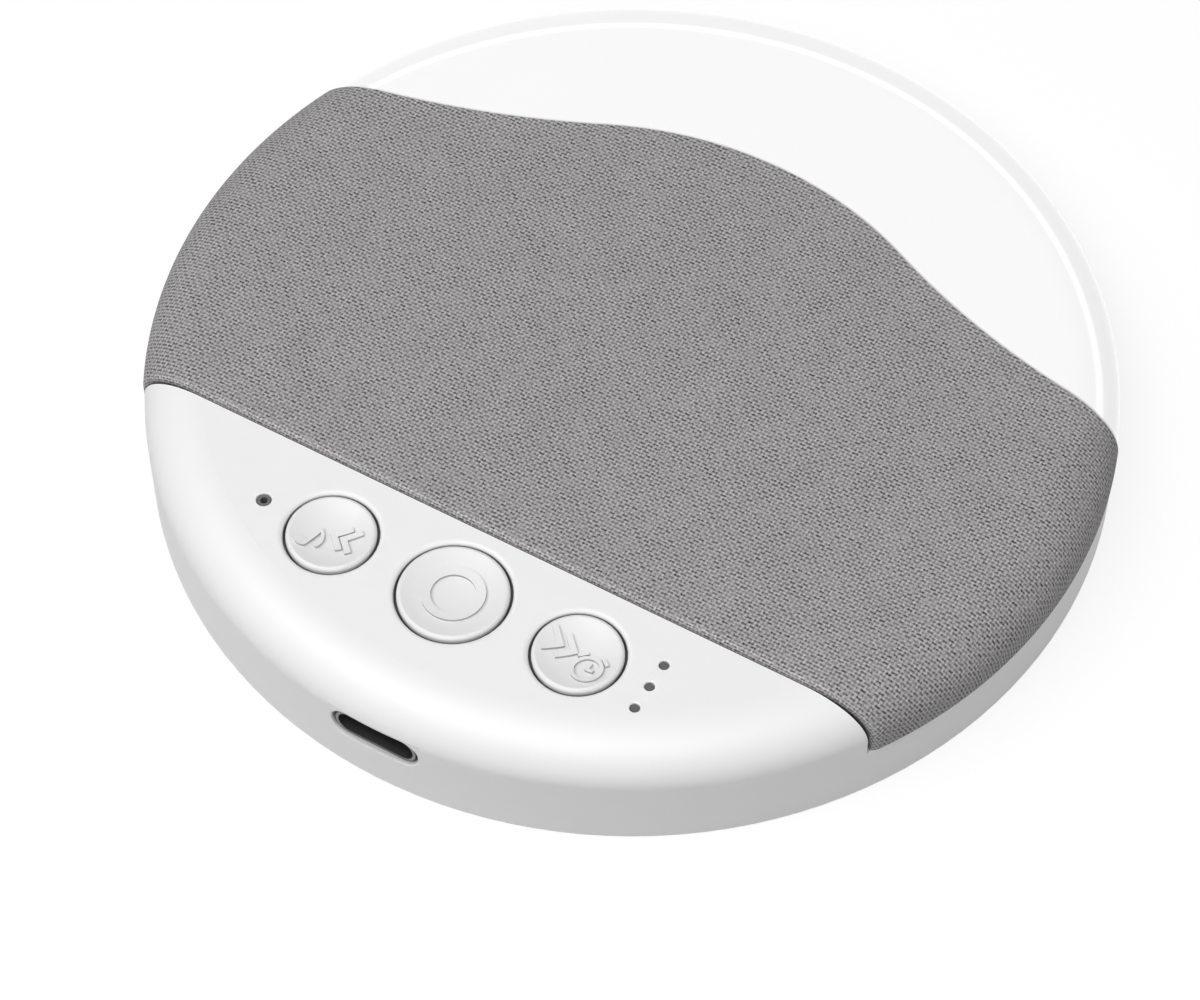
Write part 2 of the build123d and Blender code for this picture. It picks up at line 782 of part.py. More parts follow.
symbols = (left_symbol, centre_symbol, right_symbol)
for name, place, hole_radius, symbol in zip(button_names, button_places, button_hole_radii, symbols):
    cap_radius = hole_radius - button_gap
    dish_radius = cap_radius - button_edge_round
    axis_point = (place[0], place[1], 0)
    half_plane = Plane(origin=axis_point, x_dir=(1, 0, 0), z_dir=(0, -1, 0))
    axis = Axis(axis_point, (0, 0, 1))
    flange_radius = cap_radius + button_flange
    symbol_root = dish_low - symbol_height
    symbol_middle = (0, dish_low + symbol_height)
    symbol_rim = (dish_radius, rim_z + symbol_height)
    with BuildPart() as raised:
        with BuildSketch(half_plane):
            with BuildLine():
                TangentArc(symbol_middle, symbol_rim, tangent=(1, 0))
                Polyline(symbol_rim, (dish_radius, symbol_root), (0, symbol_root), symbol_middle)
            make_face()
        revolve(axis=axis)
        with BuildSketch(Plane(origin=(place[0], place[1], symbol_root))):
            symbol()
        extrude(amount=overall_height, mode=Mode.INTERSECT)
    with BuildPart() as cap:
        with BuildSketch(half_plane):
            with BuildLine():
                TangentArc((0, dish_low), (dish_radius, rim_z), tangent=(1, 0))
                TangentArc((dish_radius, rim_z), (cap_radius, rim_z - button_edge_round), tangent=(1, 0))
                Polyline(
                    (cap_radius, rim_z - button_edge_round),
                    (cap_radius, cap_flange_top),
                    (flange_radius, cap_flange_top),
                    (flange_radius, cap_flange_low),
                    (post_tip_radius, cap_flange_low),
                    (post_tip_radius, plunger_top + plunger_gap),
                    (0, plunger_top + plunger_gap),
                    (0, dish_low),
                )
            make_face()
        revolve(axis=axis)
        add(raised.part)
    save(cap, f"{name}_button")
    with BuildPart() as plunger:
        column([place], plunger_flange_radius, plunger_low, plunger_low + plunger_flange_thickness)
        column([place], plunger_radius, plunger_low, plunger_top)
    save(plunger, f"{name}_switch_plunger")
    with BuildPart() as switch_body:
        block(place, (switch_side, switch_side), board_top, switch_top)
        column([place], plunger_flange_radius + plunger_fit, switch_floor_z, switch_roof_z, Mode.SUBTRACT)
        column([place], plunger_radius + plunger_fit, switch_floor_z, switch_top, Mode.SUBTRACT)
    save(switch_body, f"{name}_switch_body")
    dome_inner = dome_radius - dome_sheet
    with BuildPart() as snap_dome:
        with BuildSketch(half_plane):
            with BuildLine():
                TangentArc((0, dome_top), (dome_radius, switch_floor_z), tangent=(1, 0))
                TangentArc((0, dome_top - dome_sheet), (dome_inner, switch_floor_z), tangent=(1, 0))
                Line((dome_radius, switch_floor_z), (dome_inner, switch_floor_z))
                Line((0, dome_top), (0, dome_top - dome_sheet))
            make_face()
        revolve(axis=axis)
    save(snap_dome, f"{name}_switch_dome")

# Main board under the panel, with what is soldered to it
with BuildPart() as main_board:
    ring(board_radius, 0, board_low, board_top)
    block((0, board_back_y - reach), (2 * reach, 2 * reach), board_low, board_top, Mode.INTERSECT)
    column(front_screws, clear_radius, board_low - overcut, board_top + overcut, Mode.SUBTRACT)
save(main_board, "main_board")

for name, place, size, height in (
    ("controller_chip", (controller_x, controller_y), (controller_side, controller_side), chip_height),
    ("amplifier_chip", (amplifier_x, amplifier_y), (amplifier_side, amplifier_side), chip_height),
    ("power_coil", (coil_x, coil_y), (coil_side, coil_side), coil_height),
    ("clock_crystal", (crystal_x, crystal_y), (crystal_length, crystal_width), crystal_height),
    ("radio_board", (radio_x, radio_y), (radio_board_length, radio_board_width), radio_board_thickness),
):
    with BuildPart() as component:
        block(place, size, board_low - height, board_low)
    save(component, name)

radio_low = board_low - radio_board_thickness
with BuildPart() as radio_shield:
    shield_low = radio_low - radio_shield_height
    block((radio_x, radio_y), (radio_shield_side, radio_shield_side), shield_low, radio_low)
    fillet(radio_shield.edges().group_by(Axis.Z)[0], pad_round)
save(radio_shield, "radio_shield")

with BuildPart() as board_capacitors:
    with Locations((capacitor_x, capacitor_y, board_low)):
        with GridLocations(capacitor_pitch, capacitor_pitch, capacitor_columns, capacitor_rows):
            Box(capacitor_length, capacitor_width, capacitor_width, align=hanging)
save(board_capacitors, "board_capacitors")

# Charging socket on the front edge of the board
usb_front_y = -(case_radius - usb_setback)
usb_back_y = usb_front_y + usb_length
usb_inner_width = usb_shell_width - 2 * usb_shell_sheet
usb_inner_height = usb_shell_height - 2 * usb_shell_sheet
tongue_front_y = usb_front_y + usb_tongue_setback
usb_back = Plane(origin=(0, usb_back_y, usb_centre_z), x_dir=(1, 0, 0), z_dir=(0, -1, 0))
with BuildPart() as usb_shell:
    with BuildSketch(usb_back):
        SlotOverall(usb_shell_width, usb_shell_height)
        SlotOverall(usb_inner_width, usb_inner_height, mode=Mode.SUBTRACT)
    extrude(amount=usb_length)
save(usb_shell, "usb_shell")

with BuildPart() as usb_tongue:
    with BuildSketch(usb_back):
        SlotOverall(usb_inner_width - 2 * usb_block_fit, usb_inner_height - 2 * usb_block_fit)
    extrude(amount=usb_block_length)
    with BuildSketch(usb_back):
        Rectangle(usb_tongue_width, usb_tongue_thickness)
    extrude(amount=usb_back_y - tongue_front_y)
save(usb_tongue, "usb_tongue")

with BuildPart() as usb_contacts:
    contact_y = tongue_front_y + usb_contact_width + usb_contact_length / 2
    for side, align in ((1, on_floor), (-1, hanging)):
        with Locations((0, contact_y, usb_centre_z + side * usb_tongue_thickness / 2)):
            with GridLocations(usb_contact_pitch, 1, usb_contact_count, 1):
                Box(usb_contact_width, usb_contact_length, usb_contact_thickness, align=align)
save(usb_contacts, "usb_contacts")

# Microphone under the single hole, lamps and light pipe under the row of three
mic_top = board_top + mic_height
mic_bore = mic_hole_radius / 2
with BuildPart() as microphone:
    block(mic_at, (mic_length, mic_width), board_top, mic_top)
    column([mic_at], mic_bore, mic_top - mic_height / 3, mic_top, Mode.SUBTRACT)
save(microphone, "microphone")

with BuildPart() as microphone_boot:
    ring(boot_radius, mic_bore, mic_top, panel_under, mic_at)
    ring(mic_hole_radius - pinhole_fit, mic_bore, panel_under, panel_under + pinhole_fill, mic_at)
save(microphone_boot, "microphone_boot")

lamp_top = board_top + indicator_lamp_height
with BuildPart() as indicator_lamps:
    for place in indicator_places:
        block(place, (indicator_lamp_length, indicator_lamp_width), board_top, lamp_top)
save(indicator_lamps, "indicator_lamps")

pipe_bar_top = panel_under - pipe_bar_gap
pipe_bar_low = pipe_bar_top - pipe_bar_thickness
pipe_bar_length = (indicator_count - 1) * indicator_pitch + 2 * pipe_bar_margin
with BuildPart() as indicator_light_pipe:
    block((indicator_x, indicator_y), (pipe_bar_width, pipe_bar_length), pipe_bar_low, pipe_bar_top)
    column(indicator_places, pipe_leg_radius, lamp_top + pipe_lamp_gap, pipe_bar_low)
    pin_radius = indicator_hole_radius - pinhole_fit
    column(indicator_places, pin_radius, pipe_bar_top, panel_under + pinhole_fill)
save(indicator_light_pipe, "indicator_light_pipe")

# Driver hung under the carrier: fixed frame and magnet, moving cone and coil
lip_inner = surround_outer - flange_lip
hub_low = flange_top - basket_depth
hub_top = hub_low + basket_hub_thickness
yoke_inner = yoke_radius - yoke_wall
pole_low = hub_low - pole_height
magnet_low = pole_low - magnet_height
yoke_low = magnet_low - yoke_floor
former_inner = pole_radius + former_gap
former_outer = former_inner + former_sheet
winding_low = hub_low - (pole_height + winding_height) / 2
neck_z = lip_top - cone_depth
neck_radius = former_outer + cone_glue
cone_slope = cone_depth / (cone_radius - cone_lip - neck_radius)
dust_cap_low = neck_z + (dust_cap_radius - neck_radius) * cone_slope + cone_glue
driver_plane = Plane(origin=(driver_x, driver_y, 0), x_dir=(1, 0, 0), z_dir=(0, -1, 0))
driver_axis = Axis((driver_x, driver_y, 0), (0, 0, 1))

with BuildPart() as driver_basket:
    turned(
        [
            (yoke_inner, hub_low),
            (basket_hub_radius + flange_thickness, hub_low),
            (lip_inner + flange_thickness, flange_low),
            (driver_radius, flange_low),
            (driver_radius, flange_top),
            (surround_outer + glue_line, flange_top),
            (surround_outer + glue_line, lip_top),
            (lip_inner, lip_top),
            (basket_hub_radius, hub_top),
            (yoke_inner, hub_top),
        ],
        driver_at,
    )
    window_radius = (basket_hub_radius + lip_inner) / 2
    with BuildSketch(Plane.XY.offset(hub_low - overcut)):
        with Locations(driver_at):
            with PolarLocations(window_radius, basket_window_count):
                Rectangle(basket_window_width, basket_window_length)
            with PolarLocations(driver_screw_circle_radius, driver_screw_count, start_angle=driver_screw_start):
                Circle(driver_screw_radius + screw_clear_fit)
    extrude(amount=basket_depth + 2 * overcut, mode=Mode.SUBTRACT)
save(driver_basket, "driver_basket")

with BuildPart() as driver_gasket:
    ring(driver_radius, surround_outer + glue_line, flange_top, seat_low, driver_at)
    with BuildSketch(Plane.XY.offset(flange_top - overcut)):
        with Locations(driver_at):
            with PolarLocations(driver_screw_circle_radius, driver_screw_count, start_angle=driver_screw_start):
                Circle(driver_screw_radius + screw_clear_fit)
    extrude(amount=gasket_thickness + 2 * overcut, mode=Mode.SUBTRACT)
save(driver_gasket, "driver_gasket")

with BuildPart() as driver_screws:
    for step in range(driver_screw_count):
        angle = math.radians(driver_screw_start + step * 360 / driver_screw_count)
        place = (
            driver_x + driver_screw_circle_radius * math.cos(angle),
            driver_y + driver_screw_circle_radius * math.sin(angle),
        )
        screw(
            place,
            flange_low,
            driver_screw_radius,
            driver_screw_length,
            driver_screw_head_radius,
            driver_screw_head_height,
        )
save(driver_screws, "driver_screws")

with BuildPart() as driver_yoke:
    turned(
        [
            (0, yoke_low),
            (yoke_radius, yoke_low),
            (yoke_radius, hub_low),
            (yoke_inner, hub_low),
            (yoke_inner, magnet_low),
            (0, magnet_low),
        ],
        driver_at,
    )
save(driver_yoke, "driver_yoke")

with BuildPart() as driver_magnet:
    ring(magnet_radius, 0, magnet_low, pole_low, driver_at)
save(driver_magnet, "driver_magnet")

with BuildPart() as driver_pole_plate:
    ring(pole_radius, 0, pole_low, hub_low, driver_at)
save(driver_pole_plate, "driver_pole_plate")

with BuildPart() as coil_former:
    ring(former_outer, former_inner, winding_low, neck_z, driver_at)
save(coil_former, "coil_former")

with BuildPart() as coil_winding:
    winding_inner = former_outer + winding_glue
    winding_top = winding_low + winding_height
    ring(winding_inner + winding_thickness, winding_inner, winding_low, winding_top, driver_at)
save(coil_winding, "coil_winding")

with BuildPart() as driver_cone:
    lip_start = cone_radius - cone_lip
    turned(
        [
            (neck_radius, neck_z - cone_sheet),
            (neck_radius, neck_z),
            (lip_start, lip_top),
            (cone_radius, lip_top),
            (cone_radius, lip_top - cone_sheet),
            (lip_start, lip_top - cone_sheet),
        ],
        driver_at,
    )
save(driver_cone, "driver_cone")

with BuildPart() as dust_cap:
    cap_top = dust_cap_low + dust_cap_rise
    inner_radius = dust_cap_radius - dust_cap_sheet
    with BuildSketch(driver_plane):
        with BuildLine():
            TangentArc((0, cap_top), (dust_cap_radius, dust_cap_low), tangent=(1, 0))
            TangentArc((0, cap_top - dust_cap_sheet), (inner_radius, dust_cap_low), tangent=(1, 0))
            Line((dust_cap_radius, dust_cap_low), (inner_radius, dust_cap_low))
            Line((0, cap_top), (0, cap_top - dust_cap_sheet))
        make_face()
    revolve(axis=driver_axis)
save(dust_cap, "dust_cap")

with BuildPart() as driver_surround:
    roll_outer = surround_outer - cone_lip
    roll_middle = (cone_radius + roll_outer) / 2
    surround_top = lip_top + surround_sheet
    with BuildSketch(driver_plane):
        with BuildLine():
            inner_rim = (cone_radius, surround_top)
            outer_rim = (roll_outer, surround_top)
            inner_low = (cone_radius, lip_top)
            outer_low = (roll_outer, lip_top)
            Polyline(inner_low, (lip_start, lip_top), (lip_start, surround_top), inner_rim)
            ThreePointArc(inner_rim, (roll_middle, surround_top + surround_rise), outer_rim)
            Polyline(outer_rim, (surround_outer, surround_top), (surround_outer, lip_top), outer_low)
            ThreePointArc(outer_low, (roll_middle, lip_top + surround_rise), inner_low)
        make_face()
    revolve(axis=driver_axis)
save(driver_surround, "driver_surround")

terminal_y = driver_y - (surround_outer + driver_radius) / 2
terminal_low = flange_low - terminal_thickness
with BuildPart() as driver_terminals:
    block((driver_x, terminal_y), (terminal_width, terminal_length), terminal_low, flange_low)
save(driver_terminals, "driver_terminals")

# Battery taped to the base cover
battery_low = base_top + battery_tape_thickness
guard_back_y = battery_y - battery_length / 2
guard_front_y = guard_back_y - guard_board_thickness
with BuildPart() as battery_cell:
    block((battery_x, battery_y), (battery_width, battery_length), battery_low, battery_low + battery_height)
    fillet(battery_cell.edges().filter_by(Axis.Z), battery_round)
    fillet(battery_cell.faces().sort_by(Axis.Z)[-1].edges(), battery_round / 2)
save(battery_cell, "battery_cell")

with BuildPart() as battery_tape:
    tape_size = (battery_width - 2 * battery_tape_margin, battery_length - 2 * battery_tape_margin)
    block((battery_x, battery_y), tape_size, base_top, battery_low)
save(battery_tape, "battery_tape")

with BuildPart() as battery_guard_board:
    guard_low = lead_z - guard_board_height / 2
    guard_at = (battery_x, (guard_back_y + guard_front_y) / 2)
    block(guard_at, (guard_board_width, guard_board_thickness), guard_low, guard_low + guard_board_height)
save(battery_guard_board, "battery_guard_board")

# Connectors and leads between the boards, the driver and the battery
connector_y = board_back_y - connector_inset - connector_length / 2
connector_face_y = board_back_y - connector_inset
light_connector_face_y = wave_crest_y + seam_gap + diffuser_wall + light_board_gap + connector_inset
light_connector_y = light_connector_face_y + connector_length / 2
battery_connector_x = battery_x + battery_lead_jog
for name, place in (
    ("battery_connector", (battery_connector_x, connector_y)),
    ("speaker_connector", (driver_x, connector_y)),
    ("light_connector", (light_lead_x, connector_y)),
    ("light_board_connector", (light_lead_end_x, light_connector_y)),
):
    with BuildPart() as connector:
        block(place, (connector_width, connector_length), board_low - connector_height, board_low)
        chamfer(connector.edges().group_by(Axis.Z)[0], pad_round)
    save(connector, name)

lead_sides = (-lead_pitch / 2, lead_pitch / 2)
battery_run = (guard_front_y - connector_face_y) / 4
for name, side in zip(("battery_lead_minus", "battery_lead_plus"), lead_sides):
    with BuildPart() as battery_lead:
        lead(
            [
                (battery_x + side, guard_front_y, lead_z),
                (battery_x + side, guard_front_y - battery_run, lead_z),
                (battery_connector_x + side, connector_face_y + battery_run, lead_z),
                (battery_connector_x + side, connector_face_y, lead_z),
            ]
        )
    save(battery_lead, name)

with BuildPart() as speaker_leads:
    for side in lead_sides:
        lead(
            [
                (driver_x + side, terminal_y, terminal_low),
                (driver_x + side, terminal_y, lead_z),
                (driver_x + side, connector_face_y, lead_z),
            ]
        )
save(speaker_leads, "speaker_leads")

light_lead_start = (light_lead_x, connector_face_y)
light_lead_end = (light_lead_end_x, light_connector_face_y)
with BuildPart() as light_leads:
    for side in lead_sides:
        lead([(x + side, y, lead_z) for x, y in (light_lead_start, *light_lead_route, light_lead_end)])
save(light_leads, "light_leads")
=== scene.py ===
# %% [markdown]
# # A pillow speaker, dressed on its CAD frame
# The object is a flat round speaker that lies under a pillow: a white plastic case, a band of grey cloth over
# the driver, a milky crescent that is a night light, and three dished buttons beside a charging socket.
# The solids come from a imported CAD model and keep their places. This lesson adds what CAD leaves out: the woven
# cloth as a real stretched sheet, and a finish for every piece, inside ones too.

# %% Load the frame
import json
import math

import bpy
import numpy as np
from mathutils import Matrix, Vector


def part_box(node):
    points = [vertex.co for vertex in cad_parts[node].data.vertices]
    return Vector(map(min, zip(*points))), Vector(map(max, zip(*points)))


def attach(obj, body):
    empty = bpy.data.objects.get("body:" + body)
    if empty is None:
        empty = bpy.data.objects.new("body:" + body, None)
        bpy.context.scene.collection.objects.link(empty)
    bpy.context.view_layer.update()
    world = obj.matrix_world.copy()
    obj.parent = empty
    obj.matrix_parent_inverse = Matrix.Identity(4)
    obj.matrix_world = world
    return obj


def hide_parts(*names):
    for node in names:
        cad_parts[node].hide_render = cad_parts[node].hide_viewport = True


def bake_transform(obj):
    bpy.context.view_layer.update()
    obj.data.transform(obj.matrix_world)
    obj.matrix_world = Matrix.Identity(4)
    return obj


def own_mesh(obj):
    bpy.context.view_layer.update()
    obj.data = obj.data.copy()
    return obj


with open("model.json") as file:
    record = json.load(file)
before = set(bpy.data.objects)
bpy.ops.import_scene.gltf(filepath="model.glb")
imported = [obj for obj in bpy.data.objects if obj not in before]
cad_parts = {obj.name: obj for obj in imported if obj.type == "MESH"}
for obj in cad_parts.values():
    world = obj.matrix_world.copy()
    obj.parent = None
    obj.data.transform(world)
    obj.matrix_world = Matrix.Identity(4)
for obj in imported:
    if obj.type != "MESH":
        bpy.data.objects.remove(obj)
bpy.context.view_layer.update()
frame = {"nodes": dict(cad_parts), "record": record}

mm = 0.001

# %% [markdown]
# ## The camera
# A product photograph of a small thing is taken with a long lens from a step away, so the far rim is only a
# little smaller than the near one. The camera stands on a ball round a point of the object: an angle round the
# vertical, an angle above the floor, and a distance. A small roll levels the picture. The lens follows from the
# picture's scale in pixels.

# %% Place the camera
picture_width = 1200
focal_pixels = 4061.7
camera_azimuth = math.radians(30.863)
camera_elevation = math.radians(54.050)
camera_roll = math.radians(-0.567)
camera_distance = 400.8 * mm
camera_target = Vector((4.286, -13.654, 6.5)) * mm


def add_camera():
    """Camera on a ball round the target, rolled about its own axis."""
    flat = math.cos(camera_elevation)
    back = Vector(
        (math.sin(camera_azimuth) * flat, -math.cos(camera_azimuth) * flat, math.sin(camera_elevation))
    )
    right = Vector((math.cos(camera_azimuth), math.sin(camera_azimuth), 0))
    turn = Matrix((right, back.cross(right), back)).transposed() @ Matrix.Rotation(camera_roll, 3, "Z")
    data = bpy.data.cameras.new("camera")
    data.sensor_width = 36
    data.lens = focal_pixels / picture_width * data.sensor_width
    data.clip_start = 0.01
    camera = bpy.data.objects.new("camera", data)
    camera.matrix_world = Matrix.Translation(camera_target + back * camera_distance) @ turn.to_4x4()
    bpy.context.scene.collection.objects.link(camera)
    bpy.context.scene.camera = camera
    print("lens in mm", round(data.lens, 1))


add_camera()

# %% [markdown]
# ## Shader maths in Python
# A procedural finish is arithmetic on places: sines make threads, noise makes grain. Node by node that is slow
# to write and hard to read. The class below wraps one output of a node tree, so that `1 - mask * 0.5` adds the
# Math nodes by itself. Every other node comes from its one method, `node`.

# %% A wire that knows arithmetic


class Wire:
    """One output in a shader tree. Arithmetic on wires adds Math nodes."""

    def __init__(self, tree, socket=None):
        self.tree = tree
        self.socket = socket

    def node(self, kind, settings=None, inputs=None, output=0):
        """Add a node: its settings first, then values or wires for its inputs. Returns one output."""
        made = self.tree.nodes.new("ShaderNode" + kind)
        for name, value in (settings or {}).items():
            setattr(made, name, value)
        for name, value in (inputs or {}).items():
            if isinstance(value, Wire):
                self.tree.links.new(value.socket, made.inputs[name])
            else:
                made.inputs[name].default_value = value
        return Wire(self.tree, made.outputs[output])

    def math(self, operation, other=0.0, third=0.0):
        """Math node with this wire first."""
        return self.node("Math", {"operation": operation}, {0: self, 1: other, 2: third})

    def __add__(self, other):
        return self.math("ADD", other)

    __radd__ = __add__

    def __mul__(self, other):
        return self.math("MULTIPLY", other)

    __rmul__ = __mul__

    def __sub__(self, other):
        return self.math("SUBTRACT", other)

    def __rsub__(self, other):
        return self.node("Math", {"operation": "SUBTRACT"}, {0: other, 1: self})

    def __truediv__(self, other):
        return self.math("DIVIDE", other)

    def __pow__(self, other):
        return self.math("POWER", other)

    def __abs__(self):
        return self.math("ABSOLUTE")

    def sine(self):
        return self.math("SINE")

    def floor(self):
        return self.math("FLOOR")

    def larger(self, other):
        return self.math("MAXIMUM", other)

    def step_up(self, low, high):
        """0 below low, 1 above high, smooth between."""
        settings = {"interpolation_type": "SMOOTHSTEP"}
        return self.node("MapRange", settings, {"Value": self, "From Min": low, "From Max": high})

    def between(self, dark, light):
        """Colour that goes from dark to light with this wire."""
        values = {0: self, 6: (*dark, 1.0), 7: (*light, 1.0)}
        return self.node("Mix", {"data_type": "RGBA"}, values, output=2)

    def paint(self, under, over):
        """Colour wire under, covered by the colour over where this wire is 1."""
        values = {0: self, 6: under, 7: over}
        return self.node("Mix", {"data_type": "RGBA"}, values, output=2)


# %% [markdown]
# ## Finishes start from one small helper
# Each finish is a Principled shader whose sockets get numbers or wires. `Finish` holds the tree, gives object
# coordinates in millimetres and noise at a size in millimetres, and sets the sockets at the end. Relief goes
# through a Bump node, so it changes shading and not the shape.

# %% The start of every finish


class Finish:
    """A material being made: its tree, its places in millimetres, its noises."""

    def __init__(self, name):
        self.material = bpy.data.materials.new(name)
        self.material.use_nodes = True
        tree = self.material.node_tree
        self.shader = tree.nodes["Principled BSDF"]
        self.start = Wire(tree)
        place = self.start.node("TexCoord", output=3)
        scaled = {"operation": "SCALE"}
        self.place = self.start.node("VectorMath", scaled, {0: place, "Scale": 1 / mm})

    def noise(self, size, detail=2.0, place=None, stretch=None):
        """Noise from 0 to 1 with grains of a size in millimetres, stretched along an axis if asked."""
        where = place or self.place
        if stretch:
            where = self.start.node("VectorMath", {"operation": "MULTIPLY"}, {0: where, 1: stretch})
        return self.start.node("TexNoise", {}, {"Vector": where, "Scale": 1 / size, "Detail": detail})

    def axes(self, vector):
        """The three numbers of a vector wire."""
        return [self.start.node("SeparateXYZ", {}, {0: vector}, output=i) for i in range(3)]

    def done(self, bump=None, bump_mm=0.1, bump_strength=1.0, **sockets):
        """Set the shader's sockets, named with underscores for spaces, and the relief."""
        values = {name.replace("_", " ").title().replace("Ior", "IOR"): v for name, v in sockets.items()}
        if bump is not None:
            relief = {"Height": bump, "Distance": bump_mm * mm, "Strength": bump_strength}
            values["Normal"] = self.start.node("Bump", {}, relief)
        for name, value in values.items():
            if isinstance(value, Wire):
                self.start.tree.links.new(value.socket, self.shader.inputs[name])
            elif isinstance(value, tuple):
                self.shader.inputs[name].default_value = (*value, 1.0)
            else:
                self.shader.inputs[name].default_value = value
        print("finish", self.material.name, "nodes", len(self.start.tree.nodes))
        return self.material


# %% [markdown]
# ## The stretched cloth
# The real cover is a piece of plain-woven polyester drawn over a rigid carrier and tucked in all round. It could
# be modelled as a flat mesh and simulated, but a stretched cover has no folds: it takes the carrier's form
# exactly. So it is a surface worked out in rows. A row runs from the left hem over the crown to the right hem,
# and the rows go from the straight front edge to the wavy rear edge, with a few more rows that roll over both
# edges. The carrier's crown is flat, and its rim falls along a quarter ellipse to a short upright wall.

# %% Sizes of the cloth, from the frame
cloth_low, cloth_high = (np.array(corner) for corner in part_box("fabric_cover"))
cloth_radius = frame["record"]["size"]["bbox_m"][0] / 2
cloth_top = cloth_high[2]
cloth_hem = cloth_low[2]
front_y = cloth_low[1] + 0.05 * mm
crest_y = cloth_high[1]
rim_width = 5.9 * mm
rim_drop = 4.7 * mm
wave_crest_radius = 40.0 * mm
wave_left_radius = 100.0 * mm
wave_right_radius = 83.0 * mm
wave_turn = math.radians(25.7)
front_roll = 0.7 * mm
rear_roll = 0.45 * mm
tuck_depth = 1.2 * mm
print("cloth radius, top, hem in mm", np.round(np.array([cloth_radius, cloth_top, cloth_hem]) / mm, 2))


def wave(x):
    """Rear edge of the cloth: a crest arc in the middle and a wider valley arc on each side.

    The arcs touch where both have turned by the same angle, so that their centres and that point are in line.
    """
    valley_radius = np.where(x < 0, wave_left_radius, wave_right_radius)
    joint = wave_crest_radius * math.sin(wave_turn)
    crest_centre = crest_y - wave_crest_radius
    centre_x = (wave_crest_radius + valley_radius) * math.sin(wave_turn)
    centre_y = crest_centre + (wave_crest_radius + valley_radius) * math.cos(wave_turn)
    out = np.abs(x)
    crest = crest_centre + np.sqrt(wave_crest_radius**2 - np.minimum(out, joint) ** 2)
    valley = centre_y - np.sqrt(valley_radius**2 - (centre_x - np.maximum(out, joint)) ** 2)
    return np.where(out < joint, crest, valley)


# %% [markdown]
# A row is cut into stretches: the flat crown is spaced evenly, the rim by the ellipse's own angle so that the
# steep part gets as many points as the flat part, then the wall, then the hem that turns under. For each plan
# radius the place on the row is found by repeating x = sqrt(r^2 - y(x)^2), which settles in a few rounds because
# the wave is gentle.

# %% The cloth as one grid
crown_steps = 200
rim_steps = 22
wall_steps = 8
hem_steps = 5
row_steps = 116
roll_steps = 8
hem_round = 0.35 * mm
# Depths below the surface where the painted shade of the tuck begins and where it is full.
tuck_shade_start = 0.38 * mm
tuck_shade_fade = 0.35 * mm
fold_depth = 0.10 * mm


def rim_profile():
    """Radius, height, outward lean and length along the surface, from the crown's edge to the hem."""
    angle = np.linspace(0, np.pi / 2, rim_steps)
    radius = cloth_radius - rim_width + rim_width * np.sin(angle)
    height = cloth_top - rim_drop + rim_drop * np.cos(angle)
    lean = np.arctan2(rim_drop * np.sin(angle), rim_width * np.cos(angle))
    fall = np.linspace(cloth_top - rim_drop, cloth_hem + hem_round, wall_steps + 1)[1:]
    under = np.linspace(0, np.pi / 2, hem_steps + 1)[1:]
    radius = np.concatenate(
        [radius, np.full(wall_steps, cloth_radius), cloth_radius - hem_round * (1 - np.cos(under))]
    )
    height = np.concatenate([height, fall, cloth_hem + hem_round * (1 - np.sin(under))])
    lean = np.concatenate([lean, np.full(wall_steps, np.pi / 2), np.pi / 2 + under])
    length = np.concatenate([[0], np.cumsum(np.hypot(np.diff(radius), np.diff(height)))])
    return radius, height, lean, cloth_radius - rim_width + length


def row_edges():
    """Share from front to rear, shift toward the edge and depth below the surface, for every row.

    At an edge of roll radius q the rows follow a quarter circle: q (1 - sin a) short of the edge and
    q (1 - cos a) below the surface, then straight down to the tuck.
    """
    angle = np.linspace(np.pi / 2, 0, roll_steps)
    short, down = 1 - np.sin(angle), 1 - np.cos(angle)
    middle = np.linspace(0, 1, row_steps + 1)[1:-1]
    flat, full = np.zeros(middle.size), np.ones(middle.size + roll_steps + 1)
    share = np.concatenate([np.zeros(roll_steps + 1), middle, np.ones(roll_steps + 1)])
    inset_front = front_roll * np.concatenate([[0], short, full])
    inset_rear = rear_roll * np.concatenate([full, short[::-1], [0]])
    depth = np.concatenate([[tuck_depth], front_roll * down, flat, rear_roll * down[::-1], [tuck_depth]])
    return share, inset_front, inset_rear, depth


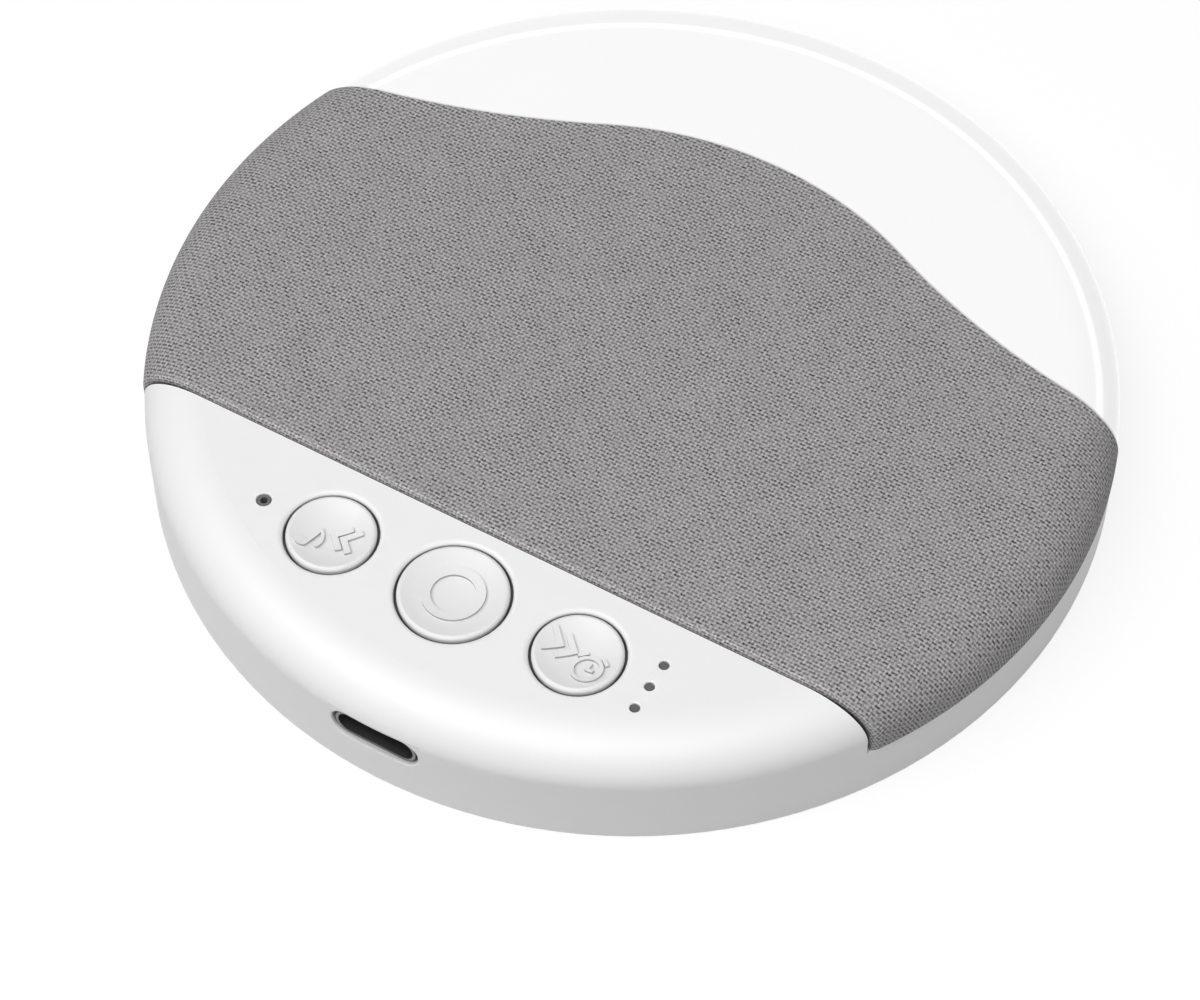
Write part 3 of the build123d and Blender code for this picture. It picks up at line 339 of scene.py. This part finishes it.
def cloth_grid():
    """Points of the cloth, their places on the flat weave, the share tucked in from 0 to 1, which sets a painted
    shade, and the share folded.
    """
    share, inset_front, inset_rear, depth = (a[:, None] for a in row_edges())

    def row_y(x):
        slope = (wave(x + 0.1 * mm) - wave(x - 0.1 * mm)) / (0.2 * mm)
        rear = wave(x) - inset_rear * np.sqrt(1 + slope**2)
        return (1 - share) * (front_y + inset_front) + share * rear

    radius, height, lean, length = rim_profile()
    sides = []
    for side in (-1, 1):
        x = side * np.sqrt(radius**2 - (0.4 * cloth_radius) ** 2) * np.ones_like(share)
        for _ in range(30):
            x = side * np.sqrt(radius**2 - row_y(x) ** 2)
        sides.append(x)
    crown = np.linspace(0, 1, crown_steps + 2)[1:-1]
    left, right = sides[0][:, :1], sides[1][:, :1]
    x = np.concatenate([sides[0][:, ::-1], left + (right - left) * crown, sides[1]], axis=1)
    y = row_y(x)

    def across(rim_values, crown_value):
        return np.concatenate([rim_values[::-1], np.full(crown_steps, crown_value), rim_values])

    flat_radius = np.hypot(x, y)
    z = across(height, cloth_top) * np.ones_like(share)
    tilt = across(lean, 0.0)
    out_x = x / flat_radius * np.sin(tilt)
    out_y = y / flat_radius * np.sin(tilt)
    out_z = np.cos(tilt) * np.ones_like(share)
    points = np.stack([x - depth * out_x, y - depth * out_y, z - depth * out_z], axis=-1)
    on_rim = across(np.ones(radius.size), 0.0) * np.ones_like(share)
    stretch = np.where(on_rim > 0, across(length, 1.0) / flat_radius, 1.0)
    weave = np.stack([x * stretch, y * stretch - depth, np.zeros_like(x)], axis=-1)
    # Painted shade: the deeper the cloth tucks in under the panel's edge, the darker its colour is painted.
    tuck_shade = np.clip((depth - tuck_shade_start) / tuck_shade_fade, 0, 1) * np.ones_like(x)
    fold = np.exp(-(((depth - fold_depth) / fold_depth) ** 2)) * (depth > 0) * np.ones_like(x)
    return points, weave, tuck_shade, fold


def grid_mesh(name, points):
    """Mesh of quads over a grid of points, each quad between two rows and two columns."""
    rows, columns = points.shape[:2]
    index = np.arange(rows * columns).reshape(rows, columns)
    quads = np.stack([index[:-1, :-1], index[:-1, 1:], index[1:, 1:], index[1:, :-1]], axis=-1)
    mesh = bpy.data.meshes.new(name)
    mesh.from_pydata(points.reshape(-1, 3), [], quads.reshape(-1, 4))
    mesh.shade_smooth()
    return mesh


def sheet_area(points):
    """Area of the grid, from the two diagonals of each quad: half the length of their cross product."""
    first = points[1:, 1:] - points[:-1, :-1]
    second = points[1:, :-1] - points[:-1, 1:]
    return float(np.linalg.norm(np.cross(first, second), axis=-1).sum() / 2)


cloth_points, weave_points, tuck_shade_share, fold_share = cloth_grid()
cloth_mesh = grid_mesh("cloth_cover", cloth_points)
weave_place = cloth_mesh.attributes.new("weave_place", "FLOAT_VECTOR", "POINT")
weave_place.data.foreach_set("vector", (weave_points / mm).ravel().astype(np.float32))
for share_name, share_values in (("tuck_shade", tuck_shade_share), ("fold", fold_share)):
    share = cloth_mesh.attributes.new(share_name, "FLOAT", "POINT")
    share.data.foreach_set("value", share_values.ravel().astype(np.float32))
cloth = bpy.data.objects.new("cloth_cover", cloth_mesh)
bpy.context.scene.collection.objects.link(cloth)
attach(cloth, "case")
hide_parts("fabric_cover")
sheet_area(cloth_points)
print("cloth quads", len(cloth_mesh.polygons), "area in cm2", round(sheet_area(cloth_points) * 1e4, 1))

# %% [markdown]
# ## The weave
# Plain weave: warp threads run front to back, weft threads left to right, and each goes over one and under the
# next. The weft lies low, and its colour is painted darker along the middle of its row as painted shade. The warp
# comes up between two wefts as a knot whose colour is painted lighter as a painted highlight, and the knots of one
# row stand between the knots of the next, as in a brick wall. With u and v counted in threads, three ripples give
# this: cos^2(pi v) for the rows, sin^2(pi u) for the columns, and sin(pi u) cos(pi v) for the brick pattern. The
# yarn is spun from light and dark fibres, so each crossing and each short stretch of thread differs, and the rows
# wander a little. Where the cloth folds down at an edge, its fibres stand up as fuzz, which is also painted lighter
# as a painted highlight. Where it tucks in under the panel's edge, it is painted darker as painted shade.

# %% Cloth finish
warp_pitch = 0.413
weft_pitch = 0.402


def cloth_finish():
    """Grey plain weave on the cloth's own flat coordinates: three ripples, yarn tints and fibres."""
    finish = Finish("grey_weave")
    place = finish.start.node("Attribute", {"attribute_name": "weave_place"}, output=1)
    wander = finish.noise(2.4, 1.0, place=place)
    jitter = finish.noise(0.8, 1.0, place=place)
    across, along, _ = finish.axes(place)
    u = across / warp_pitch + (wander - 0.5) * 0.5 + (jitter - 0.5) * 0.4
    v = along / weft_pitch + (wander - 0.5) * 0.4 + (jitter - 0.5) * 0.3
    column = (u * math.pi).sine()
    row = (v * math.pi + math.pi / 2).sine()
    weft = row * row
    warp = column * column
    brick = column * row
    # Depth of the weave, used for the relief and also as painted shade: low wefts darker, raised warp knots
    # lighter.
    hollow_and_shade = weft * 0.34 - warp * 0.22 + brick * 0.135
    cell = finish.start.node("CombineXYZ", {}, {0: u.floor(), 1: (v + 0.5).floor()})
    yarn = finish.start.node("TexWhiteNoise", {"noise_dimensions": "2D"}, {"Vector": cell})
    fibre_long = finish.noise(0.26, 2.0, place=place, stretch=(2.0, 0.8, 1.0))
    fibre_wide = finish.noise(0.26, 2.0, place=place, stretch=(0.8, 2.0, 1.0))
    fibre = fibre_wide + (fibre_long - fibre_wide) * warp
    patch = finish.noise(6.0, 2.0, place=place)
    fold = finish.start.node("Attribute", {"attribute_name": "fold"}, output=2)
    # Fuzz on the folds: raised fibres, painted lighter as a painted highlight where they catch the light.
    fuzz_and_glint = finish.noise(0.30, 2.0, place=place).step_up(0.45, 0.62) * fold
    # The tone takes the weave's painted shade and highlight, the yarn, fibre and patch tints, and the fuzz.
    tone = 0.525 - hollow_and_shade * (0.5 + yarn) + (fibre - 0.5) * 1.25 + (patch - 0.5) * 0.10 + fuzz_and_glint * 0.34
    # Painted shade: the cloth's colour is darkened where it tucks into the gap under the panel's edge.
    shade = 1 - finish.start.node("Attribute", {"attribute_name": "tuck_shade"}, output=2) * 0.85
    colour = (tone * shade).between((0.020, 0.020, 0.020), (0.608, 0.590, 0.598))
    return finish.done(
        bump=(fibre - 0.5) * 0.4 - hollow_and_shade,
        bump_mm=0.12,
        bump_strength=0.8,
        base_color=colour,
        roughness=0.84 + 0.10 * weft,
        sheen_weight=0.15,
        sheen_roughness=0.4,
        specular_ior_level=0.2,
    )


cloth.data.materials.append(cloth_finish())

# %% [markdown]
# ## Moulded plastic
# The case is white plastic from a lightly blasted mould: at arm's length it is smooth, but its highlights are
# soft because the skin has a fine grain of about a tenth of a millimetre. The buttons come from the same kind of
# mould. The walls of the gap round a button are painted dark below the rounded edge as painted shade, and the
# charging slot's walls and the upright sides of the raised symbols are painted dim as painted shade. The night
# light is a milky plastic with a painted glow, so it is the palest piece; its rim is painted darker as painted
# shade, and a line near the rim is painted bright as a painted highlight.

# %% Case, buttons and night light

panel_top = 12.7
panel_reach = 4.0
crevices = [("left_button", 4.70), ("centre_button", 5.72), ("right_button", 4.70)]


def grey(tone):
    """Neutral colour of one tone."""
    return (tone, tone, tone)


def shaded(tone, low, high):
    """Neutral tone at two shares of itself, for the dark and the light end of a mottled colour."""
    return grey(tone * low), grey(tone * high)


def from_middle(x, y, name):
    """Square of the distance from a node's upright middle line, in square millimetres."""
    low, high = (np.array(corner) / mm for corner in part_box(name))
    middle = (low + high) / 2
    off_x, off_y = x - float(middle[0]), y - float(middle[1])
    return off_x * off_x + off_y * off_y


# Mask for the painted shade in the gaps round the buttons.
def in_crevices(finish, inset, depth):
    """1 in the gap round every button, below the panel's rounded edge: a thin tube about each button's middle."""
    x, y, z = finish.axes(finish.place)
    inside = z * 0.0
    for name, hole_radius in crevices:
        radius = from_middle(x, y, name) ** 0.5
        tube = radius.step_up(hole_radius - inset - 0.03, hole_radius - inset)
        inside = inside.larger(tube * (1 - radius.step_up(hole_radius + 0.9, hole_radius + 1.0)))
    near_panel = z.step_up(panel_top - panel_reach - 0.1, panel_top - panel_reach)
    return inside * near_panel * (1 - z.step_up(panel_top - depth - 0.25, panel_top - depth + 0.05))


case_radius = 48.8
socket_z = 6.8
socket_half_width = 5.0
socket_half_height = 2.05
front_part = -40.0


# Mask for the painted shade on the slot's walls.
def in_socket_mouth(finish):
    """1 on the slot's own walls: behind the case's outer face, within the slot's oblong."""
    x, y, z = finish.axes(finish.place)
    depth = case_radius - (x * x + y * y) ** 0.5
    beside = abs(x).step_up(socket_half_width, socket_half_width + 0.1)
    above = abs(z - socket_z).step_up(socket_half_height, socket_half_height + 0.05)
    behind = y.step_up(front_part, front_part + 1)
    return depth.step_up(0.0, 0.12) * (1 - beside.larger(above).larger(behind))


dish_low = 12.02
dish_depth = 0.8
dish_margin = 0.66
symbol_height = 0.35


# Mask for the painted shade on the symbols' sides.
def on_symbol_sides(finish):
    """1 on the upright sides of the raised symbols: above a button's dish and below the symbol's top.

    The dish is part of a ball, so its height grows with the square of the distance from the button's middle.
    """
    x, y, z = finish.axes(finish.place)
    sides = z * 0.0
    for name, hole_radius in crevices:
        square = from_middle(x, y, name)
        dish_radius = hole_radius - dish_margin
        lift = z - dish_low - square * (dish_depth / dish_radius**2)
        band = lift.step_up(0.03, 0.06) * (1 - lift.step_up(symbol_height - 0.05, symbol_height - 0.02))
        sides = sides.larger(band * (1 - (square**0.5).step_up(dish_radius - 0.5, dish_radius - 0.4)))
    return sides


# Tone of the painted shade on the gap walls round the buttons.
crevice_shade_tone = 0.18


def case_finish(name, tone, gloss, grain, inset, depth):
    """White moulded plastic: fine grain in the relief, faint unevenness in colour and gloss, painted shade in
    crevices, slot walls and symbol sides.
    """
    finish = Finish(name)
    skin = finish.noise(0.12, 2.0)
    flow = finish.noise(14.0, 3.0)
    clean = (flow * 0.7 + skin * 0.3).between(*shaded(tone, 0.985, 1.0))
    # Painted shade: dark colour for the gap walls round the buttons, laid on below the rounded edge.
    dust_and_shade = skin.between(*shaded(crevice_shade_tone, 0.8, 1.0))
    # Painted shade: the slot's walls and the symbols' upright sides are painted at about half the case's tone.
    dim_shade = skin.between(*shaded(tone, 0.53, 0.57))
    recessed = in_socket_mouth(finish).larger(on_symbol_sides(finish)).paint(clean, dim_shade)
    colour = in_crevices(finish, inset, depth).paint(recessed, dust_and_shade)
    rough = gloss + (flow - 0.5) * 0.06 + (skin - 0.5) * 0.05
    return finish.done(
        bump=skin, bump_mm=0.004, bump_strength=grain, base_color=colour, roughness=rough, specular_ior_level=0.45
    )


# Circle of the ridge and of its painted highlight.
ridge_radius = 46.47
ridge_middle = (1.28, -2.56)
# Strength of the painted glow: the cover gives off light though no lamp inside is lit.
painted_glow = 0.6


def milky_finish():
    """Milky plastic with a polished skin and a painted glow, a ridge near its edge that is painted bright as a
    painted highlight, and a rim painted darker as painted shade.

    The ridge and its painted highlight follow a circle a little wider than the flat, about a middle of its own, so
    it nears the rim at one end.
    """
    finish = Finish("milky_plastic")
    cloud = finish.noise(9.0, 3.0)
    skin = finish.noise(0.3, 2.0)
    x, y, _ = finish.axes(finish.place)
    off_x, off_y = x - ridge_middle[0], y - ridge_middle[1]
    radius = (off_x * off_x + off_y * off_y) ** 0.5
    # Painted highlight along the ridge circle, painted shade on the rim beyond it.
    ridge_and_highlight = 1 - abs(radius - ridge_radius).step_up(0.15, 0.58)
    rim = radius.step_up(ridge_radius, ridge_radius + 0.4)
    body = cloud.between(grey(0.912), grey(0.922))
    rim_shade = cloud.between(grey(0.880), grey(0.890))
    ridge_highlight = cloud.between(grey(1.030), grey(1.040))
    colour = ridge_and_highlight.paint(rim.paint(body, rim_shade), ridge_highlight)
    share = {0: colour, "Scale": 1 - painted_glow}
    return finish.done(
        bump=ridge_and_highlight + skin * 0.05,
        bump_mm=0.03,
        bump_strength=0.5,
        base_color=finish.start.node("VectorMath", {"operation": "SCALE"}, share),
        emission_color=colour,
        emission_strength=painted_glow,
        roughness=0.20 + skin * 0.08,
        coat_weight=0.5,
        coat_roughness=0.12,
    )


def dress(finish, *names):
    """Put a finish on CAD nodes."""
    for name in names:
        slots = frame["nodes"][name].data.materials
        slots.clear()
        slots.append(finish)


dress(case_finish("white_case", 0.806, 0.40, 0.35, 0.05, 0.26), "main_housing")
dress(case_finish("white_base", 0.765, 0.52, 0.80, 0.05, 0.26), "base_cover")
dress(
    case_finish("white_buttons", 0.755, 0.40, 0.20, 0.31, 0.50),
    "left_button", "centre_button", "right_button",
)
dress(milky_finish(), "light_diffuser")

# %% [markdown]
# ## The inside and the small parts
# Nothing inside shows until the case is opened, but each piece still has the finish of the real thing. A few
# recipes cover them: soft rubber, dark moulding, plated or brushed metal, circuit board with its copper tracks,
# pressed paper, foil and wire insulation. Each is a short function whose numbers change from piece to piece.

# %% Recipes for the small parts


def soft_finish(name, tone, rough):
    """Rubber, foam and moulded plastic: mottled tone, fine pitted skin."""
    finish = Finish(name)
    pits = finish.noise(0.18, 3.0)
    dust_and_shade = finish.noise(3.0, 4.0)
    colour = (dust_and_shade * 0.6 + pits * 0.4).between([c * 0.75 for c in tone], [c * 1.2 for c in tone])
    return finish.done(
        bump=pits, bump_mm=0.02, bump_strength=0.5, base_color=colour, roughness=rough + (pits - 0.5) * 0.12
    )


def metal_finish(name, tone, rough, stretch):
    """Metal with scratches drawn out along one axis."""
    finish = Finish(name)
    scratch = finish.noise(0.10, 3.0, stretch=stretch)
    stain = finish.noise(2.5, 3.0)
    colour = (scratch * 0.5 + stain * 0.5).between([c * 0.82 for c in tone], tone)
    return finish.done(
        bump=scratch,
        bump_mm=0.006,
        bump_strength=0.4,
        base_color=colour,
        metallic=1.0,
        roughness=rough + (scratch - 0.5) * 0.2 + (stain - 0.5) * 0.1,
    )


def board_finish():
    """Green lacquer over glass cloth, with copper tracks under the lacquer and tinned pads."""
    finish = Finish("circuit_board")
    x, y, _ = finish.axes(finish.place)
    bend = finish.noise(6.0, 0.0)
    track = ((x * 2.6 + (bend - 0.5) * 9.0).sine() * (y * 2.1 + (bend - 0.5) * 7.0).sine()).step_up(0.25, 0.40)
    dots = finish.start.node("TexVoronoi", {}, {"Vector": finish.place, "Scale": 0.55, "Randomness": 0.55})
    pad = 1 - dots.step_up(0.13, 0.16)
    grain = finish.noise(0.25, 2.0)
    lacquer = track.between((0.012, 0.085, 0.035), (0.030, 0.190, 0.075))
    tin = grain.between((0.55, 0.56, 0.57), (0.72, 0.72, 0.71))
    return finish.done(
        bump=track * 0.6 + pad + grain * 0.1,
        bump_mm=0.03,
        bump_strength=0.6,
        base_color=pad.paint(lacquer, tin),
        metallic=pad * 0.9,
        roughness=0.32 + grain * 0.12,
    )


def paper_finish(name, tone):
    """Pressed pulp: short fibres lying every way."""
    finish = Finish(name)
    fibre = finish.noise(0.35, 5.0, stretch=(1.0, 2.6, 1.0)) * 0.5 + finish.noise(0.35, 5.0) * 0.5
    colour = fibre.step_up(0.3, 0.7).between([c * 0.6 for c in tone], [c * 1.3 for c in tone])
    return finish.done(bump=fibre, bump_mm=0.06, bump_strength=0.7, base_color=colour, roughness=0.85)


def ring_finish(name, tone, turns_per_mm):
    """Enamelled wire wound upward: even ridges in height, each turn a slightly different tone."""
    finish = Finish(name)
    _, _, z = finish.axes(finish.place)
    turn = abs((z * (math.pi * turns_per_mm)).sine())
    tint = finish.noise(0.8, 2.0)
    colour = (turn * 0.7 + tint * 0.3).between([c * 0.35 for c in tone], tone)
    return finish.done(
        bump=turn, bump_mm=0.05, bump_strength=0.9, base_color=colour, metallic=0.9, roughness=0.28 + tint * 0.2
    )


def clear_finish(name, tone, coat):
    """Cast clear or tinted resin with faint streaks under a clear skin."""
    finish = Finish(name)
    streak = finish.noise(0.8, 3.0, stretch=(1.0, 1.0, 3.0))
    colour = streak.between([c * 0.9 for c in tone], tone)
    return finish.done(
        bump=streak, bump_mm=0.01, bump_strength=0.3, base_color=colour, roughness=0.12 + streak * 0.1,
        coat_weight=coat,
    )


# %% [markdown]
# Now every small piece gets a recipe. The names on the right are nodes of the CAD frame, and pieces of one material
# share one finish. The spring steel and the rubber of the driver's roll are kept for the pieces made next.

# %% Dress the small parts
switches = ("left", "centre", "right")
dress(soft_finish("pad_rubber", (0.20, 0.20, 0.21), 0.82), "base_pad")
dress(soft_finish("carrier_moulding", (0.060, 0.060, 0.064), 0.60), "grille_carrier")
surround_rubber = soft_finish("surround_rubber", (0.018, 0.018, 0.019), 0.70)
dress(soft_finish("boot_rubber", (0.11, 0.11, 0.112), 0.70), "microphone_boot")
dress(soft_finish("gasket_foam", (0.030, 0.030, 0.032), 0.95), "driver_gasket")
dress(soft_finish("chip_epoxy", (0.022, 0.022, 0.024), 0.48), "controller_chip", "amplifier_chip")
dress(soft_finish("socket_moulding", (0.015, 0.015, 0.016), 0.40), "usb_tongue")
dress(soft_finish("plunger_moulding", (0.020, 0.020, 0.022), 0.45), *(f"{s}_switch_plunger" for s in switches))
dress(soft_finish("switch_moulding", (0.30, 0.29, 0.27), 0.50), *(f"{s}_switch_body" for s in switches))
dress(
    soft_finish("connector_moulding", (0.72, 0.69, 0.61), 0.45),
    "battery_connector", "speaker_connector", "light_connector", "light_board_connector",
)
dress(soft_finish("coil_ferrite", (0.050, 0.050, 0.053), 0.55), "power_coil")
dress(soft_finish("capacitor_ceramic", (0.42, 0.33, 0.24), 0.40), "board_capacitors")
dress(board_finish(), "main_board", "light_board", "battery_guard_board", "radio_board", "driver_terminals")
dress(
    metal_finish("drawn_steel", (0.60, 0.60, 0.61), 0.32, (1.0, 6.0, 6.0)),
    "radio_shield", "clock_crystal", "microphone", "driver_yoke", "driver_pole_plate",
)
spring_steel = metal_finish("spring_steel", (0.66, 0.65, 0.62), 0.22, (4.0, 1.0, 1.0))
dress(metal_finish("screw_steel", (0.52, 0.52, 0.53), 0.36, (1.0, 1.0, 6.0)), "case_screws", "driver_screws")
dress(metal_finish("nickel_plate", (0.70, 0.69, 0.66), 0.20, (1.0, 1.0, 4.0)), "driver_magnet")
dress(metal_finish("gold_plate", (0.80, 0.58, 0.25), 0.24, (5.0, 1.0, 5.0)), "usb_contacts")
dress(metal_finish("black_nickel", (0.22, 0.22, 0.225), 0.36, (1.0, 6.0, 6.0)), "usb_shell")
dress(metal_finish("black_steel", (0.045, 0.045, 0.048), 0.50, (3.0, 1.0, 1.0)), "driver_basket")
dress(metal_finish("pouch_foil", (0.66, 0.67, 0.69), 0.42, (1.0, 5.0, 1.0)), "battery_cell")
dress(ring_finish("coil_wire", (0.74, 0.33, 0.15), 8.0), "coil_winding")
dress(paper_finish("cone_pulp", (0.030, 0.030, 0.031)), "driver_cone", "dust_cap")
dress(paper_finish("former_paper", (0.42, 0.33, 0.20)), "coil_former")
dress(paper_finish("tape_paper", (0.62, 0.57, 0.42)), "battery_tape")
dress(soft_finish("red_insulation", (0.45, 0.022, 0.018), 0.42), "battery_lead_plus", "speaker_leads")
dress(soft_finish("black_insulation", (0.020, 0.020, 0.021), 0.42), "battery_lead_minus")
dress(soft_finish("white_insulation", (0.68, 0.68, 0.67), 0.42), "light_leads")
dress(clear_finish("smoked_pipe", (0.080, 0.082, 0.086), 0.3), "indicator_light_pipe")
dress(clear_finish("lamp_resin", (0.78, 0.66, 0.30), 0.5), "night_lamps", "indicator_lamps")

# %% [markdown]
# ## Snap domes and the driver's roll
# Three snap domes bend under the buttons, and a rubber roll lets the cone move. A stiff solid would be cut by the
# piece that pushes it, so each is made again as a thin surface: a closed profile turned once about an upright
# axis.

# %% Snap domes and the driver's roll
turned_steps = 72
arc_steps = 12
dome_sheet = 0.08 * mm
dome_vent = 0.15 * mm
roll_sheet = 0.25 * mm
roll_lip = 0.8 * mm
roll_width = 2.4 * mm
roll_rise = 0.8 * mm


def cap_height(r, reach, rise):
    """Height of a round cap over its foot: part of a circle that is rise high in the middle and 0 at reach."""
    ball = (reach**2 + rise**2) / (2 * rise)
    return rise - ball + np.sqrt(ball**2 - r**2)


def turned_piece(name, node, radius, height, finish):
    """Closed profile turned about the node's middle: radius r at turn a lies at (r cos a, r sin a)."""
    middle = (np.array(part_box(node)[0]) + np.array(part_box(node)[1])) / 2
    turn = np.linspace(0, 2 * np.pi, turned_steps, endpoint=False)
    x = middle[0] + np.outer(radius, np.cos(turn))
    y = middle[1] + np.outer(radius, np.sin(turn))
    points = np.stack([x, y, np.outer(height, np.ones(turned_steps))], axis=-1)
    index = np.arange(x.size).reshape(x.shape)
    below, beside = np.roll(index, -1, axis=0), np.roll(index, -1, axis=1)
    quads = np.stack([index, beside, np.roll(below, -1, axis=1), below], axis=-1)
    mesh = bpy.data.meshes.new(name)
    mesh.from_pydata(points.reshape(-1, 3), [], quads.reshape(-1, 4))
    mesh.shade_smooth()
    mesh.materials.append(finish)
    piece = bpy.data.objects.new(name, mesh)
    bpy.context.scene.collection.objects.link(piece)
    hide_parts(node)
    return piece, middle


def add_snap_dome(side):
    """Thin round cap with a vent hole in its middle."""
    low, high = (np.array(corner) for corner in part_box(f"{side}_switch_dome"))
    reach, rise = (high[0] - low[0]) / 2, high[2] - low[2]
    over = np.linspace(reach, dome_vent, arc_steps)
    under = np.linspace(dome_vent, reach - dome_sheet, arc_steps)
    lift = [cap_height(over, reach, rise), cap_height(under, reach - dome_sheet, rise - dome_sheet)]
    dome, middle = turned_piece(
        f"{side}_snap_dome", f"{side}_switch_dome", np.concatenate([over, under]), low[2] + np.concatenate(lift),
        spring_steel,
    )
    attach(dome, "case")
    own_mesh(dome)
    print("snap dome", side, "rise in mm", round(rise / mm, 3))


def add_driver_roll():
    """Rubber roll between two flat lips."""
    low, high = (np.array(corner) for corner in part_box("driver_surround"))
    outer = (high[0] - low[0]) / 2
    roll_outer = outer - roll_lip
    roll_inner = roll_outer - roll_width
    arc = np.linspace(roll_outer, roll_inner, 2 * arc_steps)
    across = np.concatenate([[outer], arc, [roll_inner - roll_lip]])
    bulge = cap_height(arc - (roll_outer + roll_inner) / 2, roll_width / 2, roll_rise)
    over = low[2] + roll_sheet + np.concatenate([[0], bulge, [0]])
    radius = np.concatenate([across, across[::-1]])
    height = np.concatenate([over, over[::-1] - roll_sheet])
    roll, middle = turned_piece("driver_roll", "driver_surround", radius, height, surround_rubber)
    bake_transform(roll)
    print("driver roll, outer and inner radius in mm", np.round(np.array([outer, roll_inner - roll_lip]) / mm, 2))


for side in switches:
    add_snap_dome(side)
add_driver_roll()

# %% [markdown]
# ## Floor and light
# The picture is a plain studio shot: a white table, one large soft lamp in front and above, two weak ones at
# the right and at the front left, and pale walls all round. The walls are the world's own light. The floor
# looks white to the camera and still takes a shadow, by mixing a little of its own lit colour with plain white
# only for camera, mirror and glass rays. It lies a hair below the pad, so that the two never share a plane.

# %% Stage
floor_size = 3.0
floor_z = -0.02 * mm
floor_seen = 1.0
floor_lit = 0.41
floor_white = 0.80
sky_strength = 0.14


def white_to_camera(start):
    """1 for rays from the camera, from a mirror or through glass, 0 for rays that carry light."""
    camera = start.node("LightPath", output="Is Camera Ray")
    mirror = start.node("LightPath", output="Is Glossy Ray")
    glass = start.node("LightPath", output="Is Transmission Ray")
    return camera.larger(mirror).larger(glass)


def add_floor():
    """Large flat sheet under the object."""
    half = floor_size / 2
    corners = np.array([(x, y, floor_z) for y in (-half, half) for x in (-half, half)])
    floor = bpy.data.objects.new("floor", grid_mesh("floor", corners.reshape(2, 2, 3)))
    bpy.context.scene.collection.objects.link(floor)
    finish = Finish("floor_paper")
    seen = white_to_camera(finish.start)
    colour = seen.between([floor_lit] * 3, [floor_seen] * 3)
    material = finish.done(base_color=colour, roughness=0.9, specular_ior_level=0.1)
    white = finish.start.node("Emission", {}, {"Color": (1, 1, 1, 1), "Strength": 1.0})
    paper = Wire(finish.start.tree, finish.shader.outputs[0])
    mixed = finish.start.node("MixShader", {}, {0: seen * floor_white, 1: paper, 2: white})
    output = finish.start.tree.nodes["Material Output"]
    finish.start.tree.links.new(mixed.socket, output.inputs["Surface"])
    floor.data.materials.append(material)


def add_sky():
    """Even pale light from all round, plain white where it is seen."""
    world = bpy.data.worlds.new("pale_walls")
    world.use_nodes = True
    start = Wire(world.node_tree)
    seen = white_to_camera(start)
    strength = sky_strength + seen * (1 - sky_strength)
    world.node_tree.links.new(strength.socket, world.node_tree.nodes["Background"].inputs["Strength"])
    world.node_tree.nodes["Background"].inputs["Color"].default_value = (1, 1, 1, 1)
    bpy.context.scene.world = world


def add_lamp(name, azimuth, elevation, distance, width, height, power):
    """Oblong soft lamp that points at the object from an angle round it and an angle above the floor."""
    data = bpy.data.lights.new(name, "AREA")
    data.shape = "RECTANGLE"
    data.size = width
    data.size_y = height
    data.energy = power
    lamp = bpy.data.objects.new(name, data)
    turn, rise = math.radians(azimuth), math.radians(elevation)
    toward = Vector((math.sin(turn) * math.cos(rise), -math.cos(turn) * math.cos(rise), math.sin(rise)))
    lamp.matrix_world = Matrix.Translation(toward * distance) @ toward.to_track_quat("Z", "Y").to_matrix().to_4x4()
    bpy.context.scene.collection.objects.link(lamp)
    print("lamp", name, "at", np.round(lamp.location, 2).tolist())


add_floor()
add_sky()
add_lamp("softbox", -14, 65, 1.0, 1.3, 0.7, 11.4)
add_lamp("side_fill", 95, 48, 1.0, 0.8, 0.8, 1.3)
add_lamp("front_fill", -45, 25, 1.0, 0.8, 0.8, 0.5)
bpy.context.scene.view_settings.view_transform = "Standard"
